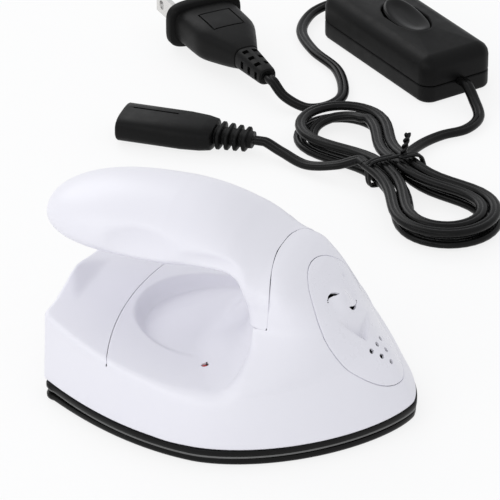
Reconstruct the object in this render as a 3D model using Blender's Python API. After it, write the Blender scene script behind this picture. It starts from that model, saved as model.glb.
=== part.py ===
"""Mini craft iron with its detachable cord set, as separate named solids.

Lengths are in millimetres and become metres where a mesh is made.
The iron stands on z = 0 with its nose towards +X.
"""
import math

import bmesh
import bpy
from mathutils import Matrix, Vector

MM = 0.001
GAP = 0.3
WALL = 1.9

# Base, seen from above: a rounded heel, wide hips and a superelliptic nose
HIP_X = 4.0
NOSE_X = 51.4
HEEL_X = -45.6
HIP_HALF = 41.7
HEEL_HALF = 24.6
HEEL_CORNER = 2.6
NOSE_POWER_X = 1.75
NOSE_POWER_Y = 1.40
SIDE_POWER = 1.85
FRONT_STEPS = 9
SIDE_STEPS = 5

# Soleplate and the plates on it: a fuller nose and heel than the shell's
SOLE_NOSE_X = 51.8
SOLE_HIP_HALF = 41.3
SOLE_HEEL_X = -44.0
SOLE_HEEL_HALF = 26.2
SOLE_POWER_Y = 1.55
TRIM_HEEL_HALF = 25.4
TRIM_POWER_Y = 1.47
SKIRT_REACH = 0.5
RING_WIDTH = 13.0

# Heights of the stack under the white shell
SOLE_TOP = 2.2
SHIELD_TOP = 3.0
SKIRT_TOP = 4.8
SHELL_BOTTOM = 5.0

# Deck: level in front, climbing to the heel, with a round dish
DECK_Z = 19.4
HEEL_RISE = 5.4
DECK_RISE_X = -2.0
DECK_POWER = 1.4
DISH_X = -4.7
DISH_R = 22.5
DISH_DEPTH = 1.7

# Hood seam and the ledge that carries the handle strut
SEAM_X = 17.2
SEAM_LINE = [(40.0, SEAM_X), (43.7, 16.2), (45.2, 15.3), (46.0, 14.4)]
LEDGE_Z = 31.0

# Hood and pedestal by height: front edge, half-width, start and fullness of the nose curve, rear edge
CREST = [(4.8, 51.4), (16.3, 44.6), (21.0, 40.2), (26.0, 35.7), (31.4, 30.9), (35.0, 28.0), (40.0, 23.6),
         (43.7, 19.4), (45.2, 16.9), (46.0, 15.0)]
HULL_HALF = [(19.0, 39.4), (20.0, 38.6), (22.0, 34.6), (25.0, 28.2), (28.0, 23.5), (31.0, 20.4), (35.0, 19.4),
             (40.0, 17.8), (43.7, 12.8), (45.2, 8.2), (46.0, 2.5)]
HULL_START = [(19.0, 4.0), (20.0, 5.0), (22.0, 10.0), (25.0, 15.2), (28.0, 17.0), (31.0, SEAM_X)] + SEAM_LINE
HULL_POWER_X = [(19.0, 1.75), (25.0, 1.85), (31.0, 2.0)]
HULL_POWER_Y = [(19.0, 1.40), (22.0, 1.48), (25.0, 1.66), (28.0, 2.0), (31.0, 2.38), (36.0, 2.38), (40.0, 2.0)]
PEDESTAL_REAR = [(19.0, 0.5), (20.0, 2.0), (22.0, 4.4), (25.0, 6.8), (28.0, 8.4), (31.0, 9.3)]
PEDESTAL_CORNER = [(18.8, 15.0), (19.6, 18.0), (21.4, 21.2), (24.0, 21.2), (27.0, 19.8), (31.0, SEAM_X)]
PEDESTAL_FLAT = 8.0
HULL_ROOT_Z = 15.0
HULL_ROOT_INSET = 0.6
HULL_STEPS = 9
REAR_STEPS = 4

# Heel cover: seam x = COVER_X + y * y / COVER_BOW
COVER_X = -28.4
COVER_BOW = 194.0
COVER_THICK = 2.0
HUMP_REAR_X = -45.2
HUMP_FRONT_X = -40.2
HUMP_TOP = 27.9
HUMP_BASE = 23.2
HUMP_SIDE = (11.8, 24.8)
HUMP_CORNER = (12.0, 23.7)
INLET_Z = 15.0
SOCKET_HALF_Y = 8.6
SOCKET_HALF_Z = 5.2
PIN_PITCH = 8.6
PIN_LENGTH = 13.0
THERMOSTAT = (-7.0, -18.6)
LAMP_X = 1.4
LAMP_Y = -24.2
LAMP_HOLE_R = 0.65
HANDLE_SCREW_X = 14.2
HANDLE_SCREW_Y = 8.0

# Front panel: its own frame leans with the crest of the hood
PANEL_AXIS = (0.755, 0.0, 0.656)
PANEL_CENTRE_X = 31.5
PANEL_CENTRE_Z = 30.5
PANEL_MIDDLE = 5.3
PANEL_HALF_LONG = 20.0
PANEL_HALF_WIDE = 14.4
PANEL_THICK = 1.6
DOME_ALONG = -1.1
SLIT_WIDTH = 0.9
SLIT_LINE = [(-3.4, -5.8), (-4.2, -4.5), (-4.4, -3.2), (-3.9, -1.6), (-2.8, -0.2), (-2.0, 0.6)]
VENT_R = 0.55
VENTS = [(19.5, 0.0), (16.5, -1.75), (16.5, 1.75), (13.5, -3.5), (13.5, 0.0), (13.5, 3.5)]

# Cord set: places are (right, away) on the floor, seen from the front left
VIEW_AZIMUTH = 20.66
CORD_D = 3.2
HANK_GAP = 0.62
HANK_CENTRE = (46.0, 112.0)
HANK_HEADING = (0.5, -0.866)
HANK_RUN = 29.0
HANK_END_R = 15.5
HANK_WAIST_LIFT = 1.0
HANK_WAIST_PITCH = 4.15
TIE_ROOM_Y = (-9.3, 9.3)
TIE_ROOM_Z = (0.8, 8.45)
BLADE_PITCH = 12.7
BLADE_LENGTH = 16.5
ROCKER_HALF_LONG = 9.5
ROCKER_HALF_WIDE = 5.4
ROCKER_TILT = 9.0
PIVOT_Z = 11.6
PIN_HALF = 8.0
PLUG_TO_SWITCH = [(15.0, 158.2, 4.0), (21.5, 155.6, 1.7), (28.5, 157.5, 1.7), (32.5, 165.0, 1.7),
                  (31.0, 180.0, 1.7), (24.0, 193.0, 1.7), (20.5, 206.0, 1.7), (23.5, 217.5, 2.0), (30.0, 222.0, 3.4)]
SWITCH_TO_HANK = [(71.3, 157.5, 3.6), (72.5, 149.5, 1.8), (68.5, 142.0, 1.7), (61.0, 138.0, 1.7), (54.6, 131.8, 1.9)]
HANK_TO_CONNECTOR = [(29.5, 114.6, 4.4), (21.0, 118.8, 2.2), (14.0, 125.3, 2.9)]

WHITE = (0.84, 0.84, 0.88, 1.0)
BLACK = (0.012, 0.012, 0.013, 1.0)
METAL = (0.72, 0.72, 0.74, 1.0)
BRASS = (0.62, 0.45, 0.18, 1.0)


def floor_point(right, away, z):
    """Floor place by its distance to the right of and away from the origin, as the camera sees it."""
    turn = math.radians(VIEW_AZIMUTH)
    return Vector((right * math.cos(turn) - away * math.sin(turn),
                   right * math.sin(turn) + away * math.cos(turn), z))


SWITCH_CENTRE = floor_point(52.0, 190.0, 0.0)
SWITCH_HEADING = floor_point(0.54, -0.84, 0.0)
PLUG_FACE = floor_point(-10.5, 204.0, 7.7)
PLUG_HEADING = floor_point(0.454, -0.891, 0.0)
CONNECTOR_FRONT = floor_point(-33.2, 142.3, 4.25)
CONNECTOR_HEADING = floor_point(0.956, -0.294, 0.0)


def clear_scene():
    for obj in list(bpy.data.objects):
        bpy.data.objects.remove(obj)


def material(name, color, roughness=0.4, metallic=0.0):
    mat = bpy.data.materials.new(name)
    mat.use_nodes = True
    shader = mat.node_tree.nodes["Principled BSDF"]
    shader.inputs["Base Color"].default_value = color
    shader.inputs["Roughness"].default_value = roughness
    shader.inputs["Metallic"].default_value = metallic
    mat.diffuse_color = color
    return mat


def mesh_object(name, verts, faces, mat=None):
    """One object from vertices in millimetres."""
    mesh = bpy.data.meshes.new(name)
    mesh.from_pydata([Vector(v) * MM for v in verts], [], faces)
    shape = bmesh.new()
    shape.from_mesh(mesh)
    bmesh.ops.recalc_face_normals(shape, faces=shape.faces)
    bmesh.ops.triangulate(shape, faces=shape.faces)
    shape.to_mesh(mesh)
    shape.free()
    obj = bpy.data.objects.new(name, mesh)
    bpy.context.scene.collection.objects.link(obj)
    if mat:
        mesh.materials.append(mat)
    return obj


def smooth(obj, degrees=32.0):
    for polygon in obj.data.polygons:
        polygon.use_smooth = True
    obj.data.set_sharp_from_angle(angle=math.radians(degrees))


def loft(name, rings, mat=None):
    """Closed body through rings of equal length, with flat end caps."""
    count = len(rings[0])
    verts = [point for ring in rings for point in ring]
    faces = []
    for level in range(len(rings) - 1):
        low = level * count
        high = low + count
        for i in range(count):
            j = (i + 1) % count
            faces.append((low + i, low + j, high + j, high + i))
    faces.append(tuple(reversed(range(count))))
    faces.append(tuple(range(len(verts) - count, len(verts))))
    return mesh_object(name, verts, faces, mat)


def combine(target, tool, operation="DIFFERENCE"):
    """Apply one exact Boolean to target and remove the tool."""
    cut = target.modifiers.new("cut", "BOOLEAN")
    cut.operation = operation
    cut.object = tool
    tool.hide_render = True
    tool.display_type = "WIRE"
    bpy.context.view_layer.update()
    graph = bpy.context.evaluated_depsgraph_get()
    mesh = bpy.data.meshes.new_from_object(target.evaluated_get(graph))
    mats = list(target.data.materials)
    target.modifiers.clear()
    target.data = mesh
    mesh.materials.clear()
    for mat in mats:
        mesh.materials.append(mat)
    for polygon in mesh.polygons:
        polygon.material_index = 0
    bpy.data.objects.remove(tool)


def duplicate(obj, name):
    twin = obj.copy()
    twin.data = obj.data.copy()
    twin.name = name
    twin.data.name = name
    bpy.context.scene.collection.objects.link(twin)
    return twin


def box(name, low, high, mat=None):
    ring = [(low[0], low[1]), (high[0], low[1]), (high[0], high[1]), (low[0], high[1])]
    rings = [[(x, y, z) for x, y in ring] for z in (low[2], high[2])]
    return loft(name, rings, mat)


def axis_frame(origin, axis):
    """Matrix that takes local +Z to axis and the local origin to origin."""
    turn = Vector((0, 0, 1)).rotation_difference(Vector(axis)).to_matrix().to_4x4()
    return Matrix.Translation(Vector(origin)) @ turn


def lathe(name, profile, origin=(0, 0, 0), axis=(0, 0, 1), sides=16, mat=None):
    """Solid of revolution; profile lists (radius, height) from bottom to top."""
    frame = axis_frame(origin, axis)
    rings = []
    for radius, height in profile:
        ring = []
        for i in range(sides):
            turn = 2 * math.pi * i / sides
            local = Vector((radius * math.cos(turn), radius * math.sin(turn), height))
            ring.append(tuple(frame @ local))
        rings.append(ring)
    return loft(name, rings, mat)


def screw(name, origin, axis, mat, length=8.0, head=2.4, shank=1.2):
    """Pan-head screw whose head rests at origin and whose shank runs along axis."""
    profile = [(head, -1.6), (head, 0.0), (shank, 0.01), (shank, length)]
    return lathe(name, profile, origin, axis, 12, mat)


# Base shape


def slice_points(nose, hip, heel, heel_half, power_y=NOSE_POWER_Y):
    """Closed plan outline, symmetric in y, counter-clockwise from the heel."""
    half = [(heel, 0.45 * heel_half), (heel, heel_half - HEEL_CORNER)]
    for step in (30, 60):
        turn = math.radians(step)
        half.append((heel + HEEL_CORNER * (1 - math.cos(turn)),
                     heel_half - HEEL_CORNER * (1 - math.sin(turn))))
    start = heel + HEEL_CORNER
    for i in range(SIDE_STEPS):
        x = start + (HIP_X - start) * i / SIDE_STEPS
        along = (HIP_X - x) / (HIP_X - start)
        half.append((x, hip - (hip - heel_half) * along ** SIDE_POWER))
    for i in range(FRONT_STEPS):
        turn = math.radians(90.0 * i / FRONT_STEPS)
        x = HIP_X + (nose - HIP_X) * math.sin(turn) ** (2 / NOSE_POWER_X)
        y = hip * math.cos(turn) ** (2 / power_y)
        half.append((x, y))
    mirrored = [(x, -y) for x, y in half]
    return mirrored + [(nose, 0.0)] + half[::-1]


def interpolate(points, value):
    if value <= points[0][0]:
        return points[0][1]
    for (a, fa), (b, fb) in zip(points, points[1:]):
        if value <= b:
            return fa + (fb - fa) * (value - a) / (b - a)
    return points[-1][1]


def deck_z(x):
    if x >= DECK_RISE_X:
        return DECK_Z
    along = (DECK_RISE_X - x) / (DECK_RISE_X - HEEL_X)
    return DECK_Z + HEEL_RISE * along ** DECK_POWER


def base_block(name, inset=0.0, bottom=SHELL_BOTTOM):
    """Flanks and heel wall up to above the deck, drawn in by inset."""
    rings = []
    for z in (bottom, 10.6, 16.3, 19.0, 27.0):
        lift = max(z - 4.8, 0.0)
        draft = 0.16 * lift if z < 20 else 0.16 * 14.2
        nose = min(interpolate(CREST, z), NOSE_X) - 1.15 * inset
        points = slice_points(max(nose, 34.0), HIP_HALF - draft - inset,
                              HEEL_X + 0.02 * lift + inset, HEEL_HALF - 0.3 * draft - inset)
        rings.append([(x, y, z) for x, y in points])
    block = loft(name, rings)
    stations = [-60, -45.6, -42, -38, -33, -28, -22, -16, -10, -5, -2, 20, 70]
    top = []
    for x in stations:
        top.append([(x, -60, deck_z(x) - 1.05 * inset), (x, 60, deck_z(x) - 1.05 * inset), (x, 60, 80), (x, -60, 80)])
    combine(block, loft("deck_cutter", top))
    return block


def hull_ring(z, rear, corner, inset):
    """Plan outline of the hood at height z, its rear edge curving from rear to its corners."""
    half_width = interpolate(HULL_HALF, z) - inset
    front = interpolate(CREST, z) - 1.2 * inset
    start = interpolate(HULL_START, z)
    power_x = interpolate(HULL_POWER_X, z)
    power_y = interpolate(HULL_POWER_Y, z)
    first = math.asin(max((corner - start) / (front - start), 0.0) ** (power_x / 2))
    flank = []
    for i in range(HULL_STEPS):
        turn = first + (math.pi / 2 - first) * i / HULL_STEPS
        flank.append((start + (front - start) * math.sin(turn) ** (2 / power_x),
                      half_width * math.cos(turn) ** (2 / power_y)))
    corner_half = flank[0][1]
    flat = min(PEDESTAL_FLAT, 0.4 * corner_half)
    back = []
    for i in range(REAR_STEPS):
        outward = i / REAR_STEPS
        back.append((rear + (flank[0][0] - rear) * outward ** 2, flat + (corner_half - flat) * outward))
    half = back + flank
    return [(x, y, z) for x, y in [(x, -y) for x, y in half] + [(front, 0.0)] + half[::-1]]


def hood_block(name, inset=0.0):
    """Hood and pedestal with the ledge for the strut, drawn in by inset; its root is hidden in the base."""
    root = hull_ring(HULL_HALF[0][0], PEDESTAL_REAR[0][1] + inset, PEDESTAL_CORNER[0][1] + inset,
                     inset + HULL_ROOT_INSET)
    rings = [[(x, y, HULL_ROOT_Z) for x, y, z in root]]
    for z in (19.2, 20.0, 21.4, 23.0, 25.0, 28.0, LEDGE_Z - inset):
        rings.append(hull_ring(z, interpolate(PEDESTAL_REAR, z) + inset, interpolate(PEDESTAL_CORNER, z) + inset, inset))
    for z in (LEDGE_Z - inset, 33.0, 35.0, 37.5, 40.0, 42.0, 43.7, 45.2, 46.0):
        rear = interpolate(SEAM_LINE, z) + inset
        if interpolate(CREST, z) - 1.2 * inset < rear + 0.5:
            break
        rings.append(hull_ring(z + 0.001, rear, rear, inset))
    return loft(name, rings)


def body_block(name, inset=0.0, bottom=SHELL_BOTTOM):
    block = base_block(name, inset, bottom)
    combine(block, hood_block("hood_part", inset), "UNION")
    return block


def half_space(name, points, reach=60.0):
    """Prism along y over an (x, z) outline."""
    rings = [[(x, y, z) for x, z in points] for y in (-reach, reach)]
    return loft(name, rings)


def cover_prism(name, clearance, low, high):
    """Everything behind the curved seam of the heel cover."""
    front = []
    for i in range(-8, 9):
        y = 5.0 * i
        front.append((COVER_X + y * y / COVER_BOW + clearance, y))
    ring = [(-70, -40)] + front + [(-70, 40)]
    return loft(name, [[(x, y, z) for x, y in ring] for z in (low, high)])


def below_cover(name, drop):
    """Body under the heel cover: everything lower than its underside."""
    stations = [-60, -45.6, -42, -38, -33, -28, -22, -16, -5, 40]
    rings = []
    for x in stations:
        z = deck_z(x) - drop
        rings.append([(x, -60, -20), (x, 60, -20), (x, 60, z), (x, -60, z)])
    return loft(name, rings)


# Handle

# x, half-width, height of the widest line, top, bottom, squareness above and below
HANDLE_STATIONS = [
    (-51.9, 2.4, 45.4, 46.8, 44.2, 2.0, 2.0),
    (-51.2, 5.6, 45.5, 48.4, 43.0, 2.0, 2.0),
    (-49.0, 9.6, 45.8, 50.8, 41.7, 2.1, 2.0),
    (-44.0, 13.2, 46.0, 53.5, 40.4, 2.1, 2.0),
    (-36.0, 15.9, 46.0, 55.9, 39.5, 2.1, 2.1),
    (-26.0, 17.1, 46.0, 57.3, 39.0, 2.1, 2.1),
    (-14.0, 17.5, 45.8, 57.8, 39.2, 2.1, 2.1),
    (-3.0, 17.4, 45.6, 56.4, 41.0, 2.1, 2.2),
    (3.5, 17.6, 45.2, 53.3, 41.6, 2.1, 2.6),
    (7.2, 18.0, 44.2, 51.0, 40.6, 2.1, 3.2),
    (8.9, 18.5, 42.4, 50.3, 37.0, 2.1, 4.0),
    (9.5, 18.8, 41.0, 50.1, 31.0, 2.1, 5.0),
    (12.0, 19.2, 39.5, 47.9, 31.0, 2.1, 6.0),
    (14.4, 19.4, 38.0, 46.3, 31.0, 2.2, 7.0),
    (16.2, 19.5, 36.5, 46.1, 31.0, 2.3, 8.0),
    (20.0, 19.5, 36.0, 46.0, 31.0, 2.4, 8.0),
]
HANDLE_SIDES = 24
PARTING_Z = 42.4
PARTING_X = 3.0


def handle_ring(station, inset):
    x, half, middle, top, bottom, square_up, square_down = station
    ring = []
    for i in range(HANDLE_SIDES):
        turn = 2 * math.pi * (i + 0.5) / HANDLE_SIDES
        side, rise = math.cos(turn), math.sin(turn)
        square = square_up if rise > 0 else square_down
        reach = (top - inset - middle) if rise > 0 else (middle - bottom - inset)
        y = (half - inset) * math.copysign(abs(side) ** (2 / square), side)
        z = middle + max(reach, 0.4) * math.copysign(abs(rise) ** (2 / square), rise)
        ring.append((x, y, z))
    return ring


def handle_block(name, inset=0.0):
    stations = HANDLE_STATIONS
    if inset:
        stations = [s for s in stations if s[1] > 9.0 and s[0] < 8.0]
    return loft(name, [handle_ring(s, inset) for s in stations])


def seam_cutter(name, clearance):
    """Everything in front of the hood seam, set back by clearance."""
    above = SEAM_LINE + [(46.6, 14.0), (70.0, 14.0)]
    outline = [(70, -5), (SEAM_X - clearance, -5)] + [(x - clearance, z) for z, x in above] + [(70, 70)]
    return half_space(name, outline)


# Pieces of the iron


def make_soleplate(mats):
    rings = []
    for z, inset in ((0.0, 0.9), (0.9, 0.0), (SOLE_TOP, 0.0)):
        points = slice_points(SOLE_NOSE_X - inset, SOLE_HIP_HALF - inset, SOLE_HEEL_X + inset,
                              SOLE_HEEL_HALF - inset, SOLE_POWER_Y)
        rings.append([(x, y, z) for x, y in points])
    return loft("soleplate", rings, mats["sole"])


def plate_ring(name, low, high, reach, mat):
    """Flat ring between soleplate and shell, its rim at reach outside the shell's lower edge."""
    outer = slice_points(NOSE_X + reach, HIP_HALF + reach, SOLE_HEEL_X - reach, TRIM_HEEL_HALF + reach, TRIM_POWER_Y)
    inner = slice_points(NOSE_X - 1.2 * RING_WIDTH, HIP_HALF - RING_WIDTH, SOLE_HEEL_X + RING_WIDTH,
                         TRIM_HEEL_HALF - RING_WIDTH)
    ring = loft(name, [[(x, y, z) for x, y in outer] for z in (low, high)], mat)
    combine(ring, loft("ring_bore", [[(x, y, z) for x, y in inner] for z in (low - 1, high + 1)]))
    return ring


def make_main_shell(mats):
    shell = base_block("main_shell")
    combine(shell, lathe("dish_cutter", [(DISH_R - 3.5, DECK_Z - DISH_DEPTH), (DISH_R - 1.0, DECK_Z - 1.2),
                                         (DISH_R + 0.6, DECK_Z + 0.05), (DISH_R + 0.6, 30.0)],
                         (DISH_X, 0, 0), sides=48))
    combine(shell, hood_block("hood_part"), "UNION")
    core = body_block("shell_core", WALL, SHELL_BOTTOM - 3.0)
    dish_room = lathe("dish_room", [(DISH_R + WALL, DECK_Z - DISH_DEPTH - WALL), (DISH_R + WALL, DECK_Z - WALL)],
                      (DISH_X, 0, 0), sides=40)
    combine(core, dish_room)
    combine(shell, core)
    pocket = cover_prism("cover_pocket", GAP, 10.0, 60.0)
    combine(pocket, below_cover("cover_seat", COVER_THICK + GAP))
    combine(shell, pocket)
    combine(shell, box("inlet_gate", (HEEL_X - 2, -SOCKET_HALF_Y - GAP, INLET_Z - SOCKET_HALF_Z - GAP),
                       (HEEL_X + 12, SOCKET_HALF_Y + GAP, INLET_Z + SOCKET_HALF_Z + GAP)))
    combine(shell, lathe("lamp_hole", [(LAMP_HOLE_R, 10.0), (LAMP_HOLE_R, 30.0)], (LAMP_X, LAMP_Y, 0), sides=8))
    for side in (-1, 1):
        combine(shell, lathe("handle_screw_hole", [(3.1, 12.0), (3.1, 20.0), (1.7, 20.01), (1.7, 40.0)],
                             (HANDLE_SCREW_X, side * HANDLE_SCREW_Y, 0), sides=12))
    shell.data.materials.append(mats["white"])
    return shell


def make_heel_cover(mats):
    cover = body_block("heel_cover")
    combine(cover, below_cover("cover_underside", COVER_THICK))
    combine(cover, hump("hump"), "UNION")
    keep = cover_prism("cover_keep", 0.0, -10.0, 60.0)
    combine(cover, keep, "INTERSECT")
    cover.data.materials.clear()
    cover.data.materials.append(mats["white"])
    return cover


def hump(name):
    """Low pyramid over the inlet: three facets fall from its point at the heel to the deck."""
    apex = (HUMP_REAR_X, 0.0, HUMP_TOP)
    side, side_z = HUMP_SIDE
    corner, corner_z = HUMP_CORNER
    left = [(HUMP_REAR_X, -side, side_z), (HUMP_FRONT_X, -corner, corner_z), (HUMP_FRONT_X, -corner, HUMP_BASE),
            (HUMP_REAR_X, -side, HUMP_BASE)]
    right = [(x, -y, z) for x, y, z in left]
    faces = [(0, 2, 6), (0, 1, 2), (0, 6, 5), (0, 5, 8, 4, 1), (2, 3, 7, 6), (1, 4, 3, 2), (5, 6, 7, 8), (3, 4, 8, 7)]
    return mesh_object(name, [apex] + left + right, faces)


def make_front_panel(shell, mats):
    """Oval panel let into the hood, with its slits, sunk triangle and vents."""
    panel = body_block("front_panel")
    combine(panel, body_block("panel_back", PANEL_THICK, 2.0))
    combine(panel, panel_prism("panel_keep", 0.0), "INTERSECT")
    combine(shell, panel_prism("panel_gate", GAP))
    for local_x, local_y in VENTS:
        hole = panel_point(local_x, local_y, -8.0)
        combine(panel, lathe("vent", [(VENT_R, 0.0), (VENT_R, 16.0)], hole, PANEL_AXIS, 10))
    for sign in (-1, 1):
        combine(panel, slit_prism("slit", sign))
    panel.data.materials.clear()
    panel.data.materials.append(mats["panel"])
    return panel


def panel_point(along, across, height):
    """Point in the panel's own frame: along runs down the crest, across is +Y."""
    return (PANEL_CENTRE_X + along * PANEL_AXIS[2] + height * PANEL_AXIS[0], across,
            PANEL_CENTRE_Z - along * PANEL_AXIS[0] + height * PANEL_AXIS[2])


def panel_prism(name, clearance):
    """Oval prism through the hood, narrower towards the nose."""
    rings = []
    for height, shorten in ((-7.0 - clearance, 5.2), (-4.0, 0.0), (14.0, 0.0)):
        ring = []
        for i in range(36):
            turn = 2 * math.pi * i / 36
            along = -math.cos(turn) * (PANEL_HALF_LONG + clearance - shorten)
            taper = 1.0 - 0.09 * along / PANEL_HALF_LONG
            across = math.sin(turn) * (PANEL_HALF_WIDE * taper + clearance)
            ring.append(panel_point(PANEL_MIDDLE + along, across, height))
        rings.append(ring)
    return loft(name, rings)


def slit_prism(name, sign):
    """Curved slot beside the domed button; the two are half a turn apart."""
    rings = []
    for height in (-9.0, 14.0):
        left, right = [], []
        for i, (along, across) in enumerate(SLIT_LINE):
            before = SLIT_LINE[max(i - 1, 0)]
            after = SLIT_LINE[min(i + 1, len(SLIT_LINE) - 1)]
            lean = math.hypot(after[0] - before[0], after[1] - before[1])
            out = (-(after[1] - before[1]) / lean, (after[0] - before[0]) / lean)
            for side, edge in ((0.5, left), (-0.5, right)):
                edge.append(panel_point(DOME_ALONG + sign * (along + side * SLIT_WIDTH * out[0]),
                                        sign * (across + side * SLIT_WIDTH * out[1]), height))
        rings.append(left + right[::-1])
    return loft(name, rings)


def make_handle(mats):
    whole = handle_block("handle_top")
    combine(whole, seam_cutter("hood_side", GAP))
    combine(whole, box("ledge_side", (-70, -60, -5), (70, 60, LEDGE_Z + GAP)))
    core = handle_block("handle_core", WALL)
    under = duplicate(whole, "handle_underside")
    combine(under, box("upper_part", (-70, -60, PARTING_Z - 0.5 * GAP), (70, 60, 90)))
    combine(under, box("strut_part", (PARTING_X - 0.5 * GAP, -60, 0), (70, 60, 90)))
    combine(under, duplicate(core, "under_core"))
    combine(whole, core)
    combine(whole, box("lower_part", (-70, -60, 0), (PARTING_X + 0.5 * GAP, 60, PARTING_Z + 0.5 * GAP)))
    for side in (-1, 1):
        combine(whole, lathe("handle_screw_bore", [(1.5, 30.0), (1.5, 40.5)],
                             (HANDLE_SCREW_X, side * HANDLE_SCREW_Y, 0), sides=8))
    for piece in (whole, under):
        piece.data.materials.clear()
        piece.data.materials.append(mats["white"])
    return whole, under


def stadium(half_long, half_short, steps=6):
    """Round-ended outline, counter-clockwise, long along the first axis."""
    points = []
    centre = half_long - half_short
    for start, sign in ((-90, 1), (90, -1)):
        for i in range(steps + 1):
            turn = math.radians(start + 180.0 * i / steps)
            points.append((sign * centre + half_short * math.cos(turn), half_short * math.sin(turn)))
    return points


def make_inlet(mats):
    """Figure-eight inlet: a cup that opens at the heel, and two pins."""
    outer = stadium(SOCKET_HALF_Y, SOCKET_HALF_Z)
    inner = stadium(SOCKET_HALF_Y - 0.8, SOCKET_HALF_Z - 0.8)
    rear = HEEL_X + 0.5
    cup = loft("inlet_socket", [[(x, y, INLET_Z + z) for y, z in outer] for x in (rear, rear + 14.0)],
               mats["black"])
    combine(cup, loft("socket_bore", [[(x, y, INLET_Z + z) for y, z in inner] for x in (rear - 2, rear + 11.5)]))
    for number, side in ((1, -1), (2, 1)):
        y = side * PIN_PITCH / 2
        combine(cup, lathe("pin_bore", [(1.35, 0), (1.35, 20)], (rear + 5, y, INLET_Z), (1, 0, 0), 12))
        profile = [(0.5, 0.0), (1.15, 0.7), (1.15, PIN_LENGTH)]
        lathe(f"inlet_pin_{number}", profile, (rear + 2.0, y, INLET_Z), (1, 0, 0), 12, mats["brass"])
    return cup


def tube(name, points, radius, mat, resolution=1):
    """Plain tube along points in millimetres, as a capped curve."""
    curve = bpy.data.curves.new(name, "CURVE")
    curve.dimensions = "3D"
    curve.bevel_depth = radius * MM
    curve.bevel_resolution = resolution
    curve.use_fill_caps = True
    curve.resolution_u = 1
    curve.render_resolution_u = 0
    spline = curve.splines.new("POLY")
    spline.points.add(len(points) - 1)
    for node, point in zip(spline.points, points):
        node.co = (point[0] * MM, point[1] * MM, point[2] * MM, 1.0)
    obj = bpy.data.objects.new(name, curve)
    bpy.context.scene.collection.objects.link(obj)
    curve.materials.append(mat)
    return obj


def route(points, spacing):
    """Catmull-Rom curve through hand-chosen points; the first and last stretches stay straight."""
    points = [Vector(p) for p in points]
    fine = []
    for a, b, c, d in zip(points, points[1:], points[2:], points[3:]):
        for i in range(20):
            t = i / 20
            fine.append(0.5 * (2 * b + (c - a) * t + (2 * a - 5 * b + 4 * c - d) * t * t
                               + (3 * b - a - 3 * c + d) * t ** 3))
    fine.append(points[-2])
    total = sum((q - p).length for p, q in zip(fine, fine[1:]))
    count = max(2, round(total / spacing))
    result = [points[0], fine[0]]
    walked = 0.0
    for p, q in zip(fine, fine[1:]):
        walked += (q - p).length
        if walked >= total * (len(result) - 1) / count and len(result) - 1 < count:
            result.append(q)
    return result + [points[-2], points[-1]]


def make_internals(mats):
    """Heating parts on the soleplate and the wiring under the shell."""
    box("mica_sheet", (-22, -11.5, SOLE_TOP + 0.3), (20, 11.5, 3.0), mats["mica"])
    box("heating_element", (-20, -11, 3.3), (18, 11, 7.0), mats["steel"])
    clamp = box("heater_clamp", (-30, -5, 7.3), (28, 5, 8.5), mats["steel"])
    for number, x in ((1, -27.0), (2, 25.0)):
        combine(clamp, lathe("clamp_hole", [(1.5, 5), (1.5, 10)], (x, 0, 0), sides=8))
        screw(f"clamp_screw_{number}", (x, 0, 8.8), (0, 0, -1), mats["steel"], 6.2)
    lathe("thermostat", [(6.0, 2.5), (6.0, 6.5), (4.5, 7.0), (4.5, 9.5)], THERMOSTAT + (0,), sides=16, mat=mats["brass"])
    lathe("thermal_fuse", [(1.8, 0.0), (1.8, 9.0)], (2.0, 14.5, 4.6), (0, 1, 0), 12, mats["white"])
    lathe("led_lamp", [(1.9, 0.0), (1.9, 0.8), (1.5, 0.81), (1.5, 4.0), (0.9, 5.0)],
          (LAMP_X, LAMP_Y, 10.4), sides=12, mat=mats["lamp"])
    box("led_board", (LAMP_X - 2.5, LAMP_Y - 2.2, 8.6), (LAMP_X + 14, LAMP_Y + 3.5, 10.1), mats["board"])
    pin_end = HEEL_X + 2.5 + PIN_LENGTH + GAP
    live = [(pin_end, -PIN_PITCH / 2, INLET_Z), (pin_end + 2, -PIN_PITCH / 2, INLET_Z), (-24, -8, 12.5),
            (-14, -13, 12.4), (-9.5, -17, 12.6), (THERMOSTAT[0], THERMOSTAT[1], 11.8),
            (THERMOSTAT[0], THERMOSTAT[1], 9.5 + GAP)]
    neutral = [(pin_end, PIN_PITCH / 2, INLET_Z), (pin_end + 2, PIN_PITCH / 2, INLET_Z), (-22, 7, 12.0),
               (-12, 9, 11.4), (-8.6, 8.4, 10.6), (-8, 8, 9.4), (-8, 8, 7.0 + GAP)]
    tube("live_wire", live, 0.8, mats["wire"], 0)
    tube("neutral_wire", neutral, 0.8, mats["wire"], 0)


def fasten_stack(skirt, trim, sole, mats):
    """Four screws that hold skirt and trim down on the soleplate."""
    places = [(34.0, 14.5), (34.0, -14.5), (-33.0, 23.8), (-33.0, -23.8)]
    for number, (x, y) in enumerate(places, 1):
        combine(skirt, lathe("skirt_hole", [(1.3, 0), (1.3, 9)], (x, y, 0), sides=8))
        combine(trim, lathe("trim_hole", [(1.3, 0), (1.3, 9)], (x, y, 0), sides=8))
        combine(sole, lathe("sole_hole", [(1.3, 0.8), (1.3, 9)], (x, y, 0), sides=8))
        screw(f"sole_screw_{number}", (x, y, SKIRT_TOP + 0.3), (0, 0, -1), mats["steel"], 3.8, 2.0, 1.0)


# Cord set, laid on the floor behind the iron


def section_loft(name, start, heading, sections, mat=None):
    """Loft of stadium sections along a level heading; sections list (along, half-width, half-height)."""
    ahead = Vector(heading).normalized()
    side = Vector((-ahead.y, ahead.x, 0.0))
    rings = []
    for along, half_wide, half_high in sections:
        ring = []
        for across, up in stadium(half_wide, half_high, 5):
            ring.append(tuple(Vector(start) + ahead * along + side * across + Vector((0, 0, up))))
        rings.append(ring)
    return loft(name, rings, mat)


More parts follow.
